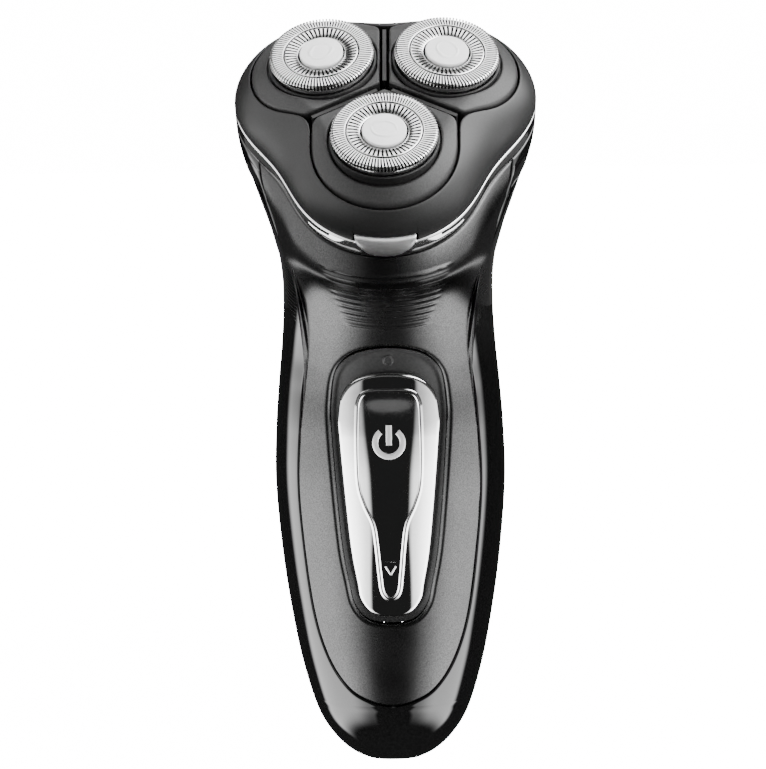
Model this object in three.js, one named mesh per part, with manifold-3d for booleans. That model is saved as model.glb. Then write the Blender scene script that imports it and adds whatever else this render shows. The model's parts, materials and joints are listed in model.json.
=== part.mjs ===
// A cordless rotary shaver: three floating shaving heads on a hinged head unit, and a handle
// with the drive. Millimetres, +Z up. The front of the handle faces -Y, and the origin is on
// the ground, under the middle of the overall box.
// The head leans forward. "Head frame" means: origin on the shaving plane, +Z along the head's
// own axis, -Y towards the front shaving head.
import * as THREE from "three";
import { mergeVertices } from "three/addons/utils/BufferGeometryUtils.js";
import Module from "manifold-3d";

// ---------------------------------------------------------------- driving dimensions
const GAP = 0.3; // between neighbouring pieces

// Everything below is placed from the plane y = 0 through the handle; this moves it to the
// middle of the overall box.
const BOX_SHIFT_Y = 4.9;

const HEAD_LEAN = 44; // degrees between the head's axis and the handle's
const HEAD_CENTRE = new THREE.Vector3(0, -16, 150);

const LOBES = 3;
const CAP_CIRCLE_R = 15.2; // head centre to each shaving cap's centre
const CAP_TILTS = [0, 5, 5]; // degrees each lobe's cap leans outward, the front one first
const CAP_R = 11;
const CAP_SKIRT_R = 10.55;
const CAP_DEPTH = 4.2;
const DISC_R = 4.55;
const HOLDER_R = 11.35;
const HOLDER_TOP = -2.4;
const HOLDER_BOTTOM = -4.3;
const PETAL_BORE_R = 11.65;
const PETAL_THROAT_R = 11;
const PETAL_R = 14.9;
const PETAL_BOTTOM = -8.6;
const GROOVE = 2; // gap between neighbouring petals
const BUTTON_HALF_WIDTH = 6.3; // release button
const BUTTON_HEIGHT = 5;
const BUTTON_TOP = -12.2;
const BUTTON_REACH = [28, 37]; // a cut for the button runs this far forward of the head's axis

const DOME_TOP = -2; // the petals' flat middle, below the shaving plane
const HEAD_BOTTOM = -13.5;
const HEAD_WALL = 1.6;
const BAND_TOP = -13.9;
const BAND_BOTTOM = -17.4;
const BAND_WALL = 2.2;

const GEAR_MODULE = 0.8;
const PINION_TEETH = 12;
const GEAR_TEETH = 24;
const SPINDLE_CIRCLE_R = (GEAR_MODULE * (PINION_TEETH + GEAR_TEETH)) / 2;
const SPINDLE_R = 1.8;
const SPINDLE_TOP = -7.9;
const GEAR_TOP = -17.2;
const GEAR_BOTTOM = -20.2;
const MOTOR_TOP = -23;
const MOTOR_LENGTH = 16;

const HINGE_Y = 27.2; // head frame
const HINGE_Z = -13.7;
const HINGE_PIN_R = 0.9;
const KNUCKLE_R = 1.9;
const KNUCKLE_X = 5.1; // middle of each outer knuckle
const KNUCKLE_HALF = 1.9; // half its length
const KNUCKLE_GAP = 0.4;
const LUG_HALF = 2.6; // half the length of the knuckle between them

const SHELL_WALL = 1.8;
const SHELL_TOP = -17.7; // head frame, where the handle's shells end under the band
const FAN_PIVOT_Y = -58.5; // the neck's sections fan out about this line
const FAN_PIVOT_Z = 85;
const BLEND_FROM_TILT = 30; // from here up the sections turn into the band's triangle

const RECESS_DEPTH = 1.75;
const RECESS_RIM = 0.9;
const PLATE_PROUD = 0.25;
const PLATE_BACK = 1.25;

const BATTERY_R = 7;
const BATTERY_LENGTH = 49;

const SOCKET_LENGTH = 10.6;
const SOCKET_WIDTH = 7.6;
const SOCKET_WALL = 1.5;
const SOCKET_FLANGE = 1.8; // how far the flange stands out
const PIN_X = 2.8;
const PIN_R = 0.55;

// The handle below the neck: height, half width, depth in front of and behind its centre line.
const HANDLE_CENTRE_Y = 1.5;
const HANDLE_STATIONS = [
  [0, 6.4, 4.7, 4.9],
  [2, 9.8, 7.7, 7.9],
  [5.5, 13.3, 10.8, 11.1],
  [11, 16.6, 13.9, 14.2],
  [20, 19.4, 16.8, 17],
  [30, 21.5, 18.9, 18.9],
  [45, 23.7, 20.7, 20.3],
  [62, 25.1, 21.3, 21],
  [75, 24.8, 20.9, 21.3],
];
// The neck: tilt in degrees, half width, then front, centre and rear as radii from the pivot.
const NECK_STATIONS = [
  [0, 24, 39.7, 60, 81.5],
  [8, 23.2, 39.9, 60.6, 83.2],
  [16, 22.7, 40.3, 61.8, 85.6],
  [24, 22.9, 40.4, 63.8, 88.5],
  [32, 24.2, 39.6, 67, 92.4],
  [38, 25.3, 39, 71, 96.8],
];

// Half outlines on the front of the handle: [half width, height], mirrored left to right.
const PANEL_OUTLINE = [
  [0, 15.3], [5, 16.5], [9.4, 19.4], [13.5, 25.8], [16.6, 36], [18.6, 52], [19.4, 66],
  [18.4, 82], [16.9, 95], [18.8, 107], [22.6, 117.5], [26, 127], [26.8, 136], [26.8, 152],
];
const RECESS_OUTLINE = [
  [0, 34.7], [4.8, 35.5], [7.6, 38.6], [8.8, 43.5], [10.4, 53], [12.3, 75.4], [12.3, 83],
  [11, 89], [7, 92.6], [0, 93.8],
];
const PLATE_OUTLINE = [
  [0, 35.9], [4, 36.6], [6.5, 39.6], [7.3, 43.4], [8.8, 53], [10.7, 75], [10.7, 79.5],
  [9.6, 84.5], [6, 87.6], [0, 88.5],
];

// ---------------------------------------------------------------- materials
const finish = (color, roughness, metalness) =>
  new THREE.MeshStandardMaterial({ color, roughness, metalness });
const FINISH = {
  satinDark: finish(0x3a3b3d, 0.38, 0.5),
  petalGrey: finish(0x515356, 0.5, 0.2),
  glossBlack: finish(0x08080a, 0.08, 0),
  mattBlack: finish(0x141415, 0.6, 0),
  chrome: finish(0xe6e7e9, 0.06, 1),
  satinSilver: finish(0xc9cacb, 0.3, 1),
  steel: finish(0xb9bbbd, 0.3, 1),
  capDisc: finish(0xe9e9e7, 0.35, 0.1),
  nylon: finish(0xd9d6cc, 0.5, 0),
  brass: finish(0xc9a24b, 0.3, 1),
  board: finish(0x1f5b38, 0.5, 0),
  battery: finish(0x2f6f9c, 0.4, 0.2),
};

// ---------------------------------------------------------------- solids and booleans
const wasm = await Module();
wasm.setup();

function solid(geometry) {
  const bare = geometry.clone();
  bare.deleteAttribute("normal");
  bare.deleteAttribute("uv");
  const merged = mergeVertices(bare, 1e-4);
  return new wasm.Manifold(
    new wasm.Mesh({
      numProp: 3,
      vertProperties: merged.attributes.position.array,
      triVerts: new Uint32Array(merged.index.array),
    }),
  );
}

function geometryOf(body) {
  const mesh = body.getMesh();
  const geometry = new THREE.BufferGeometry();
  geometry.setAttribute("position", new THREE.BufferAttribute(mesh.vertProperties, 3));
  geometry.setIndex(new THREE.BufferAttribute(mesh.triVerts, 1));
  geometry.computeVertexNormals();
  return geometry;
}

const joined = (...bodies) => bodies.reduce((whole, body) => whole.add(body));
const without = (whole, ...cuts) => cuts.reduce((rest, cut) => rest.subtract(cut), whole);

// ---------------------------------------------------------------- shapes
const radians = THREE.MathUtils.degToRad;

// Closed solid through rings of points; each ring runs anticlockwise seen from above, and the
// lowest ring comes first.
function loft(rings) {
  const count = rings[0].length;
  const points = rings.flat();
  const centreOf = (ring) =>
    ring.reduce((sum, p) => sum.add(p), new THREE.Vector3()).divideScalar(count);
  const bottom = points.push(centreOf(rings[0])) - 1;
  const top = points.push(centreOf(rings[rings.length - 1])) - 1;
  const faces = [];
  const last = (rings.length - 1) * count;
  for (let i = 0; i < count; i++) {
    const next = (i + 1) % count;
    for (let row = 0; row < last; row += count) {
      faces.push(row + i, row + next, row + count + next);
      faces.push(row + i, row + count + next, row + count + i);
    }
    faces.push(bottom, next, i, top, last + i, last + next);
  }
  const geometry = new THREE.BufferGeometry().setFromPoints(points);
  geometry.setIndex(faces);
  return geometry;
}

const extrude = (shape, from, to, curveSegments = 6) =>
  new THREE.ExtrudeGeometry(shape, { depth: to - from, bevelEnabled: false, curveSegments })
    .translate(0, 0, from);

// The same, with the shape standing in the XZ plane and running from y = -near to y = -far.
const extrudeForward = (shape, near, far) => extrude(shape, near, far).rotateX(Math.PI / 2);

const cylinder = (r, bottom, top, segments = 24) =>
  new THREE.CylinderGeometry(r, r, top - bottom, segments)
    .rotateX(Math.PI / 2)
    .translate(0, 0, (top + bottom) / 2);

// Bar along X on the line of the head's hinge.
const hingeBar = (r, x0, x1) =>
  new THREE.CylinderGeometry(r, r, x1 - x0, 12)
    .rotateZ(Math.PI / 2)
    .translate((x0 + x1) / 2, HINGE_Y, HINGE_Z);

const box = (x, y, z, cx = 0, cy = 0, cz = 0) =>
  new THREE.BoxGeometry(x, y, z).translate(cx, cy, cz);

// Turned piece from [radius, height] points that run anticlockwise.
const turned = (profile, segments = 20) => {
  const points = profile.map(([r, z]) => new THREE.Vector2(r, z));
  return new THREE.LatheGeometry(points, segments).rotateX(Math.PI / 2);
};

// Stadium: a flat oval, long along X.
function stadiumShape(length, width) {
  const r = width / 2;
  const half = length / 2 - r;
  return new THREE.Shape()
    .absarc(half, 0, r, -Math.PI / 2, Math.PI / 2)
    .absarc(-half, 0, r, Math.PI / 2, Math.PI * 1.5);
}

// A mirrored outline from half-outline points, smoothed and optionally moved inward.
function mirroredShape(half, inward = 0, steps = 18) {
  const curve = new THREE.SplineCurve(half.map(([x, z]) => new THREE.Vector2(x, z)));
  const right = curve.getPoints(steps);
  const moved = right.map((p, i) => {
    const tangent = curve.getTangent(i / steps);
    return new THREE.Vector2(Math.max(p.x - tangent.y * inward, 0), p.y + tangent.x * inward);
  });
  moved[0].x = 0;
  moved[steps].x = 0;
  const left = moved.slice(1, steps).reverse().map((p) => new THREE.Vector2(-p.x, p.y));
  return new THREE.Shape([...moved, ...left]);
}

// ---------------------------------------------------------------- the head's own surface
const TRI_STEPS = 36;

// Radius of the rounded triangle that the band follows; angle 0 is the front shaving head.
function triangleRadius(angle) {
  return 30.5 + 3.95 * Math.cos(3 * angle) - 0.3 * Math.cos(6 * angle);
}

function triangleRing(z, inset = 0, fraction = 1) {
  return Array.from({ length: TRI_STEPS }, (_, i) => {
    const angle = (2 * Math.PI * i) / TRI_STEPS;
    const r = (triangleRadius(angle) - inset) * fraction;
    return new THREE.Vector3(r * Math.sin(angle), -r * Math.cos(angle), z);
  });
}

// Height of the head's dome where the radius is this fraction of the band's.
function domeHeight(fraction) {
  const t = Math.max(0, (fraction - 0.6) / 0.4);
  const fall = 1 - (1 - t ** 1.6) ** 0.625;
  return DOME_TOP + (HEAD_BOTTOM - DOME_TOP) * fall;
}

// The dome moved inward and down; one that is moved starts lower still, so that it cuts clean through.
function domeSolid(inset, drop) {
  const fractions = [1, 0.97, 0.91, 0.83, 0.73, 0.6];
  const rings = fractions.map((f) => triangleRing(domeHeight(f) - drop, inset, f));
  if (drop) rings.unshift(triangleRing(HEAD_BOTTOM - drop - 2, inset));
  return solid(loft(rings));
}

const triangleShape = (inset) =>
  new THREE.Shape(triangleRing(0, inset).map((p) => new THREE.Vector2(p.x, p.y)));

// Plan of a petal in the head frame: a disc round its cap, squared off towards its neighbours.
function petalShape(grow = 0, groove = GROOVE) {
  const r = PETAL_R + grow;
  const slant = groove / 2 / Math.sin(radians(60)) - grow / Math.sin(radians(60));
  const cornerY = -(r / Math.tan(radians(60)) + slant);
  const shape = new THREE.Shape();
  shape.moveTo(0, -slant);
  shape.lineTo(-r, cornerY);
  shape.lineTo(-r, -CAP_CIRCLE_R);
  shape.absarc(0, -CAP_CIRCLE_R, r, Math.PI, 2 * Math.PI);
  shape.lineTo(r, cornerY);
  return shape;
}

const lobeAngle = (lobe) => (2 * Math.PI * lobe) / LOBES;

// Whatever is made for the front lobe, repeated at all three.
const atEachLobe = (make) =>
  Array.from({ length: LOBES }, (_, lobe) => solid(make().rotateZ(lobeAngle(lobe))));

// Bores through a head-frame plate, one under each shaving head.
const headBores = (r, y, bottom = -30, top = 0, segments = 12) =>
  atEachLobe(() => cylinder(r, bottom, top, segments).translate(0, y, 0));

// ---------------------------------------------------------------- head unit pieces
function releaseButtonShape(grow = 0) {
  const halfWidth = BUTTON_HALF_WIDTH + grow;
  const height = BUTTON_HEIGHT + 2 * grow;
  return new THREE.Shape().absellipse(0, BUTTON_TOP + grow, halfWidth, height, Math.PI, 2 * Math.PI);
}

const buttonCut = () => solid(extrudeForward(releaseButtonShape(GAP), ...BUTTON_REACH));
const pinBore = () => solid(hingeBar(HINGE_PIN_R + GAP, -8, 8));
const outerKnuckles = (grow) =>
  [-KNUCKLE_X, KNUCKLE_X].map((x) =>
    solid(hingeBar(KNUCKLE_R + grow, x - KNUCKLE_HALF - grow, x + KNUCKLE_HALF + grow)),
  );

function headHousing() {
  const opening = atEachLobe(() => extrude(petalShape(0.45, 0.2), -20, 2, 12));
  const webs = [-KNUCKLE_X, KNUCKLE_X].map((x) =>
    solid(box(2 * KNUCKLE_HALF, 3, 1.8, x, HINGE_Y - 1.6, HINGE_Z + 1)),
  );
  const shell = without(domeSolid(0, 0), domeSolid(HEAD_WALL, 1.5), ...opening, buttonCut());
  return without(
    joined(shell, ...outerKnuckles(0), ...webs),
    pinBore(),
    solid(hingeBar(KNUCKLE_R + KNUCKLE_GAP, -LUG_HALF - KNUCKLE_GAP, LUG_HALF + KNUCKLE_GAP)),
  );
}

function petal(tilt) {
  const block = domeSolid(0, 0).intersect(solid(extrude(petalShape(), PETAL_BOTTOM, 2, 12)));
  const bores = [
    cylinder(PETAL_BORE_R, HOLDER_BOTTOM - GAP, 10, 22),
    cylinder(PETAL_THROAT_R, -20, 0, 22),
  ];
  const tilted = bores.map((bore) => bore.rotateX(radians(tilt)).translate(0, -CAP_CIRCLE_R, 0));
  return without(block, ...tilted.map(solid));
}

// The next four are in a cap's own frame: origin at the middle of its shaving face, +Z outward.
function capHolder() {
  const inner = CAP_SKIRT_R + GAP;
  return turned([
    [inner, HOLDER_TOP], [inner, HOLDER_BOTTOM], [HOLDER_R, HOLDER_BOTTOM], [HOLDER_R, HOLDER_TOP],
    [inner, HOLDER_TOP],
  ]);
}

function shavingCap() {
  return turned([
    [DISC_R + GAP, -0.3], [DISC_R + GAP, -1], [CAP_SKIRT_R - 0.5, -1],
    [CAP_SKIRT_R - 0.5, -CAP_DEPTH], [CAP_SKIRT_R, -CAP_DEPTH], [CAP_SKIRT_R, -1.4], [CAP_R, -1.2],
    [CAP_R, -0.5], [10.4, 0], [5.4, 0], [DISC_R + GAP, -0.3],
  ]);
}

function capDisc() {
  return turned([[0, -1.3], [DISC_R, -1.3], [DISC_R, 0.1], [0, 0.35]], 20);
}

const BLADES = 6;
const HUB_BORE_R = 3.2; // clears the spindle when the petal tilts
const HUB_R = 4.3;

// A wheel of blades on a hub whose skirt hangs round the end of its spindle.
function cutter() {
  const wheel = turned([
    [0, -6.2], [HUB_BORE_R, -6.2], [HUB_BORE_R, -9.4], [HUB_R, -9.4], [HUB_R, -3.6],
    [9.2, -3.6], [9.2, -2.8], [0, -2.8],
  ], 18);
  const blades = Array.from({ length: BLADES }, (_, i) =>
    solid(box(3.6, 0.8, 2, 7.2, 0, -2.3).rotateZ((2 * Math.PI * i) / BLADES)),
  );
  return joined(solid(wheel), ...blades);
}

const FRAME_TOP = -10;
const FRAME_BOTTOM = -11;
const CUTTER_HOLE_Y = -CAP_CIRCLE_R + 0.6; // the hubs lean this far inward

// Plate under the caps, with a rib standing in each groove between two petals.
function retainingFrame() {
  const plate = extrude(triangleShape(4.5), FRAME_BOTTOM, FRAME_TOP);
  const rib = () => box(0.8, 15.4, 7.4, 0, 9.5, FRAME_TOP + 3.5);
  return without(
    joined(solid(plate), ...atEachLobe(rib)),
    ...headBores(5.6, CUTTER_HOLE_Y, -20, 0, 16),
  );
}

const CHAMBER_TOP = -11.9;
const CHAMBER_BOTTOM = -13.1;

function hairChamber() {
  const floor = extrude(triangleShape(3.3), CHAMBER_BOTTOM, CHAMBER_TOP);
  return without(solid(floor), ...headBores(4.6, CUTTER_HOLE_Y, -20, 0, 16), buttonCut());
}

// ---------------------------------------------------------------- drive pieces
const TOOTH_ABOVE = 0.8; // of the module, outside the pitch circle
const TOOTH_BELOW = 1.4; // of the module, inside it: deep and slim, for backlash
const TIP_HALF = 0.07; // of the step between teeth

function gearShape(teeth) {
  const pitch = (GEAR_MODULE * teeth) / 2;
  const tip = pitch + GEAR_MODULE * TOOTH_ABOVE;
  const root = pitch - GEAR_MODULE * TOOTH_BELOW;
  const step = (2 * Math.PI) / teeth;
  const points = [];
  for (let i = 0; i < teeth; i++) {
    const middle = i * step;
    const flank = [[root, -step / 2], [tip, -step * TIP_HALF], [tip, step * TIP_HALF]];
    for (const [r, turn] of flank) {
      points.push(new THREE.Vector2(r * Math.cos(middle + turn), r * Math.sin(middle + turn)));
    }
  }
  return new THREE.Shape(points);
}

// Both gears are drawn with a tooth towards +X; half a tooth's turn lets the pinion's teeth
// fall in the gaps.
function spindleGear() {
  const gear = extrude(gearShape(GEAR_TEETH), GEAR_BOTTOM, GEAR_TOP).rotateZ(Math.PI / 2);
  const spindle = turned([
    [0, GEAR_BOTTOM - 2.2], [1.1, GEAR_BOTTOM - 2.2], [1.1, GEAR_BOTTOM], [3, GEAR_BOTTOM],
    [3, GEAR_TOP + 0.6], [SPINDLE_R, GEAR_TOP + 0.6], [SPINDLE_R, SPINDLE_TOP - 0.5],
    [SPINDLE_R - 0.5, SPINDLE_TOP], [0, SPINDLE_TOP],
  ], 10);
  return joined(solid(gear), solid(spindle));
}

function motorPinion() {
  const halfTooth = Math.PI / PINION_TEETH;
  const pinion = extrude(gearShape(PINION_TEETH), GEAR_BOTTOM + 0.1, GEAR_TOP - 0.1);
  pinion.rotateZ(-Math.PI / 2 + halfTooth);
  return joined(solid(pinion), solid(cylinder(1, MOTOR_TOP + GAP, GEAR_TOP - 0.1, 12)));
}

function motor() {
  const can = cylinder(10, MOTOR_TOP - MOTOR_LENGTH, MOTOR_TOP - 1, 28);
  const flats = box(30, 15.4, 60, 0, 0, MOTOR_TOP);
  const boss = cylinder(3, MOTOR_TOP - 1.5, MOTOR_TOP, 20);
  return joined(solid(can).intersect(solid(flats)), solid(boss));
}

const DECK_TOP = -14.2;
const DECK_BOTTOM = -15.6;
const GEAR_PLATE_TOP = GEAR_BOTTOM - 0.8;
const GEAR_PLATE_BOTTOM = -22.4;
const DECK_SCREW_Y = 17.4;
const DECK_SCREW_HEAD_R = 1.8;

function gearPlate() {
  const disc = cylinder(18.6, GEAR_PLATE_BOTTOM, GEAR_PLATE_TOP, 30);
  const posts = headBores(1.8, DECK_SCREW_Y, GEAR_PLATE_TOP - 0.4, DECK_BOTTOM - GAP, 10);
  return without(
    joined(solid(disc), ...posts),
    ...headBores(1.4, -SPINDLE_CIRCLE_R),
    ...headBores(0.95, DECK_SCREW_Y),
    solid(cylinder(3.4, -30, 0, 16)),
  );
}

function driveDeck() {
  const plate = extrude(triangleShape(BAND_WALL + GAP), DECK_BOTTOM, DECK_TOP);
  return without(
    solid(plate),
    ...headBores(SPINDLE_R + 0.5, -SPINDLE_CIRCLE_R),
    ...headBores(1.2, DECK_SCREW_Y),
    ...headBores(DECK_SCREW_HEAD_R + GAP, DECK_SCREW_Y, DECK_TOP - 0.7),
    buttonCut(),
  );
}

function deckScrew() {
  const seat = DECK_TOP - 0.4;
  return turned([
    [0, -19], [0.65, -19], [0.65, seat], [DECK_SCREW_HEAD_R, seat],
    [DECK_SCREW_HEAD_R, DECK_TOP - 0.05], [0, DECK_TOP + 0.15],
  ], 8);
}

function trimRing() {
  const ring = loft([
    triangleRing(BAND_BOTTOM),
    triangleRing(BAND_TOP - 0.4),
    triangleRing(BAND_TOP, 0.3),
  ]);
  const hole = extrude(triangleShape(BAND_WALL), -30, 0);
  const lug = solid(hingeBar(KNUCKLE_R, -LUG_HALF, LUG_HALF));
  const web = solid(box(2 * LUG_HALF, 2.6, 2, 0, HINGE_Y - 1.4, HINGE_Z - 1.4));
  return without(
    joined(solid(ring).subtract(solid(hole)), lug, web),
    buttonCut(),
    ...outerKnuckles(KNUCKLE_GAP),
    pinBore(),
  );
}

function releaseButton() {
  const block = solid(extrudeForward(releaseButtonShape(), 30.5, 36));
  const face = solid(extrude(triangleShape(-0.6), -20, -10));
  return block.intersect(face);
}

// ---------------------------------------------------------------- the handle's surface
// One section: centre, tilt, half width, depth to the front and rear, and how far it has become
// the triangle.
const SECTIONS = [
  ...HANDLE_STATIONS.map(([z, half, front, rear]) => [HANDLE_CENTRE_Y, z, 0, half, front, rear, 0]),
  ...NECK_STATIONS.map(([tilt, half, front, centre, rear]) => [
    FAN_PIVOT_Y + centre * Math.cos(radians(tilt)),
    FAN_PIVOT_Z + centre * Math.sin(radians(tilt)),
    tilt,
    half,
    centre - front,
    rear - centre,
    THREE.MathUtils.smoothstep(tilt, BLEND_FROM_TILT, HEAD_LEAN),
  ]),
  [
    HEAD_CENTRE.y - SHELL_TOP * Math.sin(radians(HEAD_LEAN)),
    HEAD_CENTRE.z + SHELL_TOP * Math.cos(radians(HEAD_LEAN)),
    HEAD_LEAN, 31, 34, 26.5, 1,
  ],
];

// The section at a place along the handle, counted in stations, smoothly between them.
function sectionAt(place) {
  const i = Math.min(Math.floor(place), SECTIONS.length - 2);
  const t = place - i;
  const row = (k) => SECTIONS[THREE.MathUtils.clamp(k, 0, SECTIONS.length - 1)];
  return SECTIONS[0].map((_, column) => {
    const [a, b, c, d] = [row(i - 1), row(i), row(i + 1), row(i + 2)].map((r) => r[column]);
    const square = 2 * a - 5 * b + 4 * c - d;
    const cube = 3 * b - a - 3 * c + d;
    return b + 0.5 * ((c - a) * t + square * t ** 2 + cube * t ** 3);
  });
}

const HANDLE_STEPS = 28;
const SQUARENESS = 2.3;

function handleRing(place, inset, rise = 0) {
  const [cy, cz, tilt, half, front, rear, triangle] = sectionAt(place);
  const lean = radians(tilt);
  return Array.from({ length: HANDLE_STEPS }, (_, i) => {
    const angle = (2 * Math.PI * i) / HANDLE_STEPS;
    const depth = Math.cos(angle) > 0 ? front : rear;
    const across = Math.abs(Math.sin(angle) / half) ** SQUARENESS;
    const forward = Math.abs(Math.cos(angle) / depth) ** SQUARENESS;
    const oval = (across + forward) ** (-1 / SQUARENESS);
    const r = THREE.MathUtils.lerp(oval, triangleRadius(angle), triangle) - inset;
    const along = -r * Math.cos(angle);
    return new THREE.Vector3(
      r * Math.sin(angle),
      cy + along * Math.cos(lean) - rise * Math.sin(lean),
      cz + along * Math.sin(lean) + rise * Math.cos(lean),
    );
  });
}

const TOP_PLACE = SECTIONS.length - 1;

// The handle's outer form moved inward; an inner one starts higher and runs out of the top.
function handleForm(inset, firstPlace = 0, openTop = false) {
  const rings = [];
  let place = firstPlace;
  while (place < TOP_PLACE) {
    rings.push(handleRing(place, inset));
    place += place < 4 ? 0.8 : 1.1;
  }
  rings.push(handleRing(TOP_PLACE, inset));
  if (openTop) rings.push(handleRing(TOP_PLACE, inset, 3));
  return solid(loft(rings));
}

// The front part of a form inside a mirrored outline.
const frontCut = (outline, inward = 0) => solid(extrudeForward(mirroredShape(outline, inward), 4, 70));
const panelCut = () => solid(extrudeForward(mirroredShape(PANEL_OUTLINE), 0, 60));

function handleShell() {
  const hollow = handleForm(SHELL_WALL, 0.9, true);
  return handleForm(0).subtract(hollow);
}

// Screws go in from the back, through the rear shell, into bosses on the front panel.
const SCREW_HEIGHTS = [26, 98];
const BOSS = { r: 2.7, bore: 1.2, front: -19.4, back: 9 };

const barAlongY = (r, front, back, z, segments = 12) =>
  new THREE.CylinderGeometry(r, r, back - front, segments).translate(0, (front + back) / 2, z);

function frontPanel() {
  const skin = handleShell().intersect(panelCut()).subtract(frontCut(RECESS_OUTLINE, -GAP));
  const bosses = SCREW_HEIGHTS.map((z) => solid(barAlongY(BOSS.r, BOSS.front, BOSS.back, z)));
  const inside = handleForm(SHELL_WALL / 2);
  const bores = SCREW_HEIGHTS.map((z) => solid(barAlongY(BOSS.bore, -12, 30, z, 8)));
  return without(joined(skin, ...bosses.map((boss) => boss.intersect(inside))), ...bores);
}

const SCREW_SINK = [-0.9, 3.4]; // each head lies just under the back's surface

function shellScrew() {
  return joined(
    solid(barAlongY(0.85, -6, 16.5, 0, 8)),
    solid(barAlongY(2, 16, 17.4, 0, 12)),
  );
}

function rearShell() {
  const grownPanel = solid(extrudeForward(mirroredShape(PANEL_OUTLINE, -GAP), -GAP, 60));
  const socketOutline = stadiumShape(SOCKET_LENGTH + 2 * GAP, SOCKET_WIDTH + 2 * GAP);
  const socketHole = solid(extrude(socketOutline, -5, 12).translate(0, HANDLE_CENTRE_Y, 0));
  const screwHoles = SCREW_HEIGHTS.map((z) => solid(barAlongY(2.3, 10, 40, z)));
  return without(handleShell(), grownPanel, socketHole, ...screwHoles);
}

// ---------------------------------------------------------------- switch
const SLOT = { width: 4.4, bottom: 54, top: 66 };

function switchBezel() {
  const tray = handleForm(0.15).subtract(handleForm(3.1, 1)).intersect(frontCut(RECESS_OUTLINE));
  const well = frontCut(RECESS_OUTLINE, RECESS_RIM).subtract(handleForm(RECESS_DEPTH, 0.5));
  const slot = box(SLOT.width, 30, SLOT.top - SLOT.bottom, 0, -15, (SLOT.top + SLOT.bottom) / 2);
  return without(tray, well, solid(slot));
}

function switchPlate() {
  const slab = handleForm(-PLATE_PROUD).subtract(handleForm(PLATE_BACK, 0.5));
  return slab.intersect(frontCut(PLATE_OUTLINE));
}

// ---------------------------------------------------------------- inside the handle
function circuitBoard() {
  const board = box(24, 1.6, 52, 0, -9.6, 62);
  const slideSwitch = box(8, 2.6, 12, 0, -11.4, 60);
  const relay = box(9, 5, 7, 5, -6.4, 44);
  return joined(solid(board), solid(slideSwitch), solid(relay));
}

function battery() {
  const cell = cylinder(BATTERY_R, 0, BATTERY_LENGTH, 20);
  const contact = cylinder(2.4, 1, BATTERY_LENGTH + 1.4, 10);
  return joined(solid(cell), solid(contact));
}

function chargingSocket() {
  const outline = (grow) => stadiumShape(SOCKET_LENGTH + 2 * grow, SOCKET_WIDTH + 2 * grow);
  const collar = solid(extrude(outline(0), 0, 9));
  const flange = solid(extrude(outline(SOCKET_FLANGE), 5.6, 9));
  const well = solid(extrude(outline(-SOCKET_WALL), -1, 7));
  const pinHoles = [-PIN_X, PIN_X].map((x) => solid(cylinder(PIN_R + GAP, 0, 12, 12).translate(x, 0, 0)));
  return without(joined(collar, flange), well, ...pinHoles);
}

const socketPin = () =>
  turned([[0, 1.4], [PIN_R - 0.25, 1.4], [PIN_R, 1.9], [PIN_R, 11], [0, 11]], 12);

// ---------------------------------------------------------------- assembly
const shaver = new THREE.Group();
const body = new THREE.Group();
body.position.y = BOX_SHIFT_Y;
shaver.add(body);
const head = new THREE.Group();
head.position.copy(HEAD_CENTRE);
head.rotation.x = radians(HEAD_LEAN);
body.add(head);

function place(parent, name, shape, material, position = [0, 0, 0]) {
  const mesh = new THREE.Mesh(shape.isBufferGeometry ? shape : geometryOf(shape), material);
  mesh.name = name;
  mesh.position.set(...position);
  parent.add(mesh);
  return mesh;
}

// Head unit
place(head, "head_housing", headHousing(), FINISH.satinDark);
place(head, "retaining_frame", retainingFrame(), FINISH.mattBlack);
place(head, "hair_chamber", hairChamber(), FINISH.mattBlack);

const cutterBody = cutter();
const spindleGearBody = spindleGear();
for (let lobe = 0; lobe < LOBES; lobe++) {
  const number = lobe + 1;
  const arm = new THREE.Group();
  arm.rotation.z = lobeAngle(lobe);
  head.add(arm);
  const tilted = new THREE.Group();
  tilted.position.y = -CAP_CIRCLE_R;
  tilted.rotation.x = radians(CAP_TILTS[lobe]);
  arm.add(tilted);

  place(arm, `petal_${number}`, petal(CAP_TILTS[lobe]), FINISH.petalGrey);
  place(tilted, `cap_holder_${number}`, capHolder(), FINISH.mattBlack);
  place(tilted, `shaving_cap_${number}`, shavingCap(), FINISH.steel);
  place(tilted, `cap_disc_${number}`, capDisc(), FINISH.capDisc);
  place(tilted, `cutter_${number}`, cutterBody, FINISH.steel);
  place(arm, `spindle_gear_${number}`, spindleGearBody, FINISH.nylon, [0, -SPINDLE_CIRCLE_R, 0]);
  place(arm, `deck_screw_${number}`, deckScrew(), FINISH.steel, [0, DECK_SCREW_Y, 0]);
}

// Drive, fixed in the top of the handle
place(head, "trim_ring", trimRing(), FINISH.chrome);
place(head, "release_button", releaseButton(), FINISH.satinSilver);
place(head, "drive_deck", driveDeck(), FINISH.mattBlack);
place(head, "gear_plate", gearPlate(), FINISH.mattBlack);
place(head, "motor", motor(), FINISH.steel);
place(head, "motor_pinion", motorPinion(), FINISH.brass);
place(head, "hinge_pin", hingeBar(HINGE_PIN_R, -7, 7), FINISH.steel);

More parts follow.
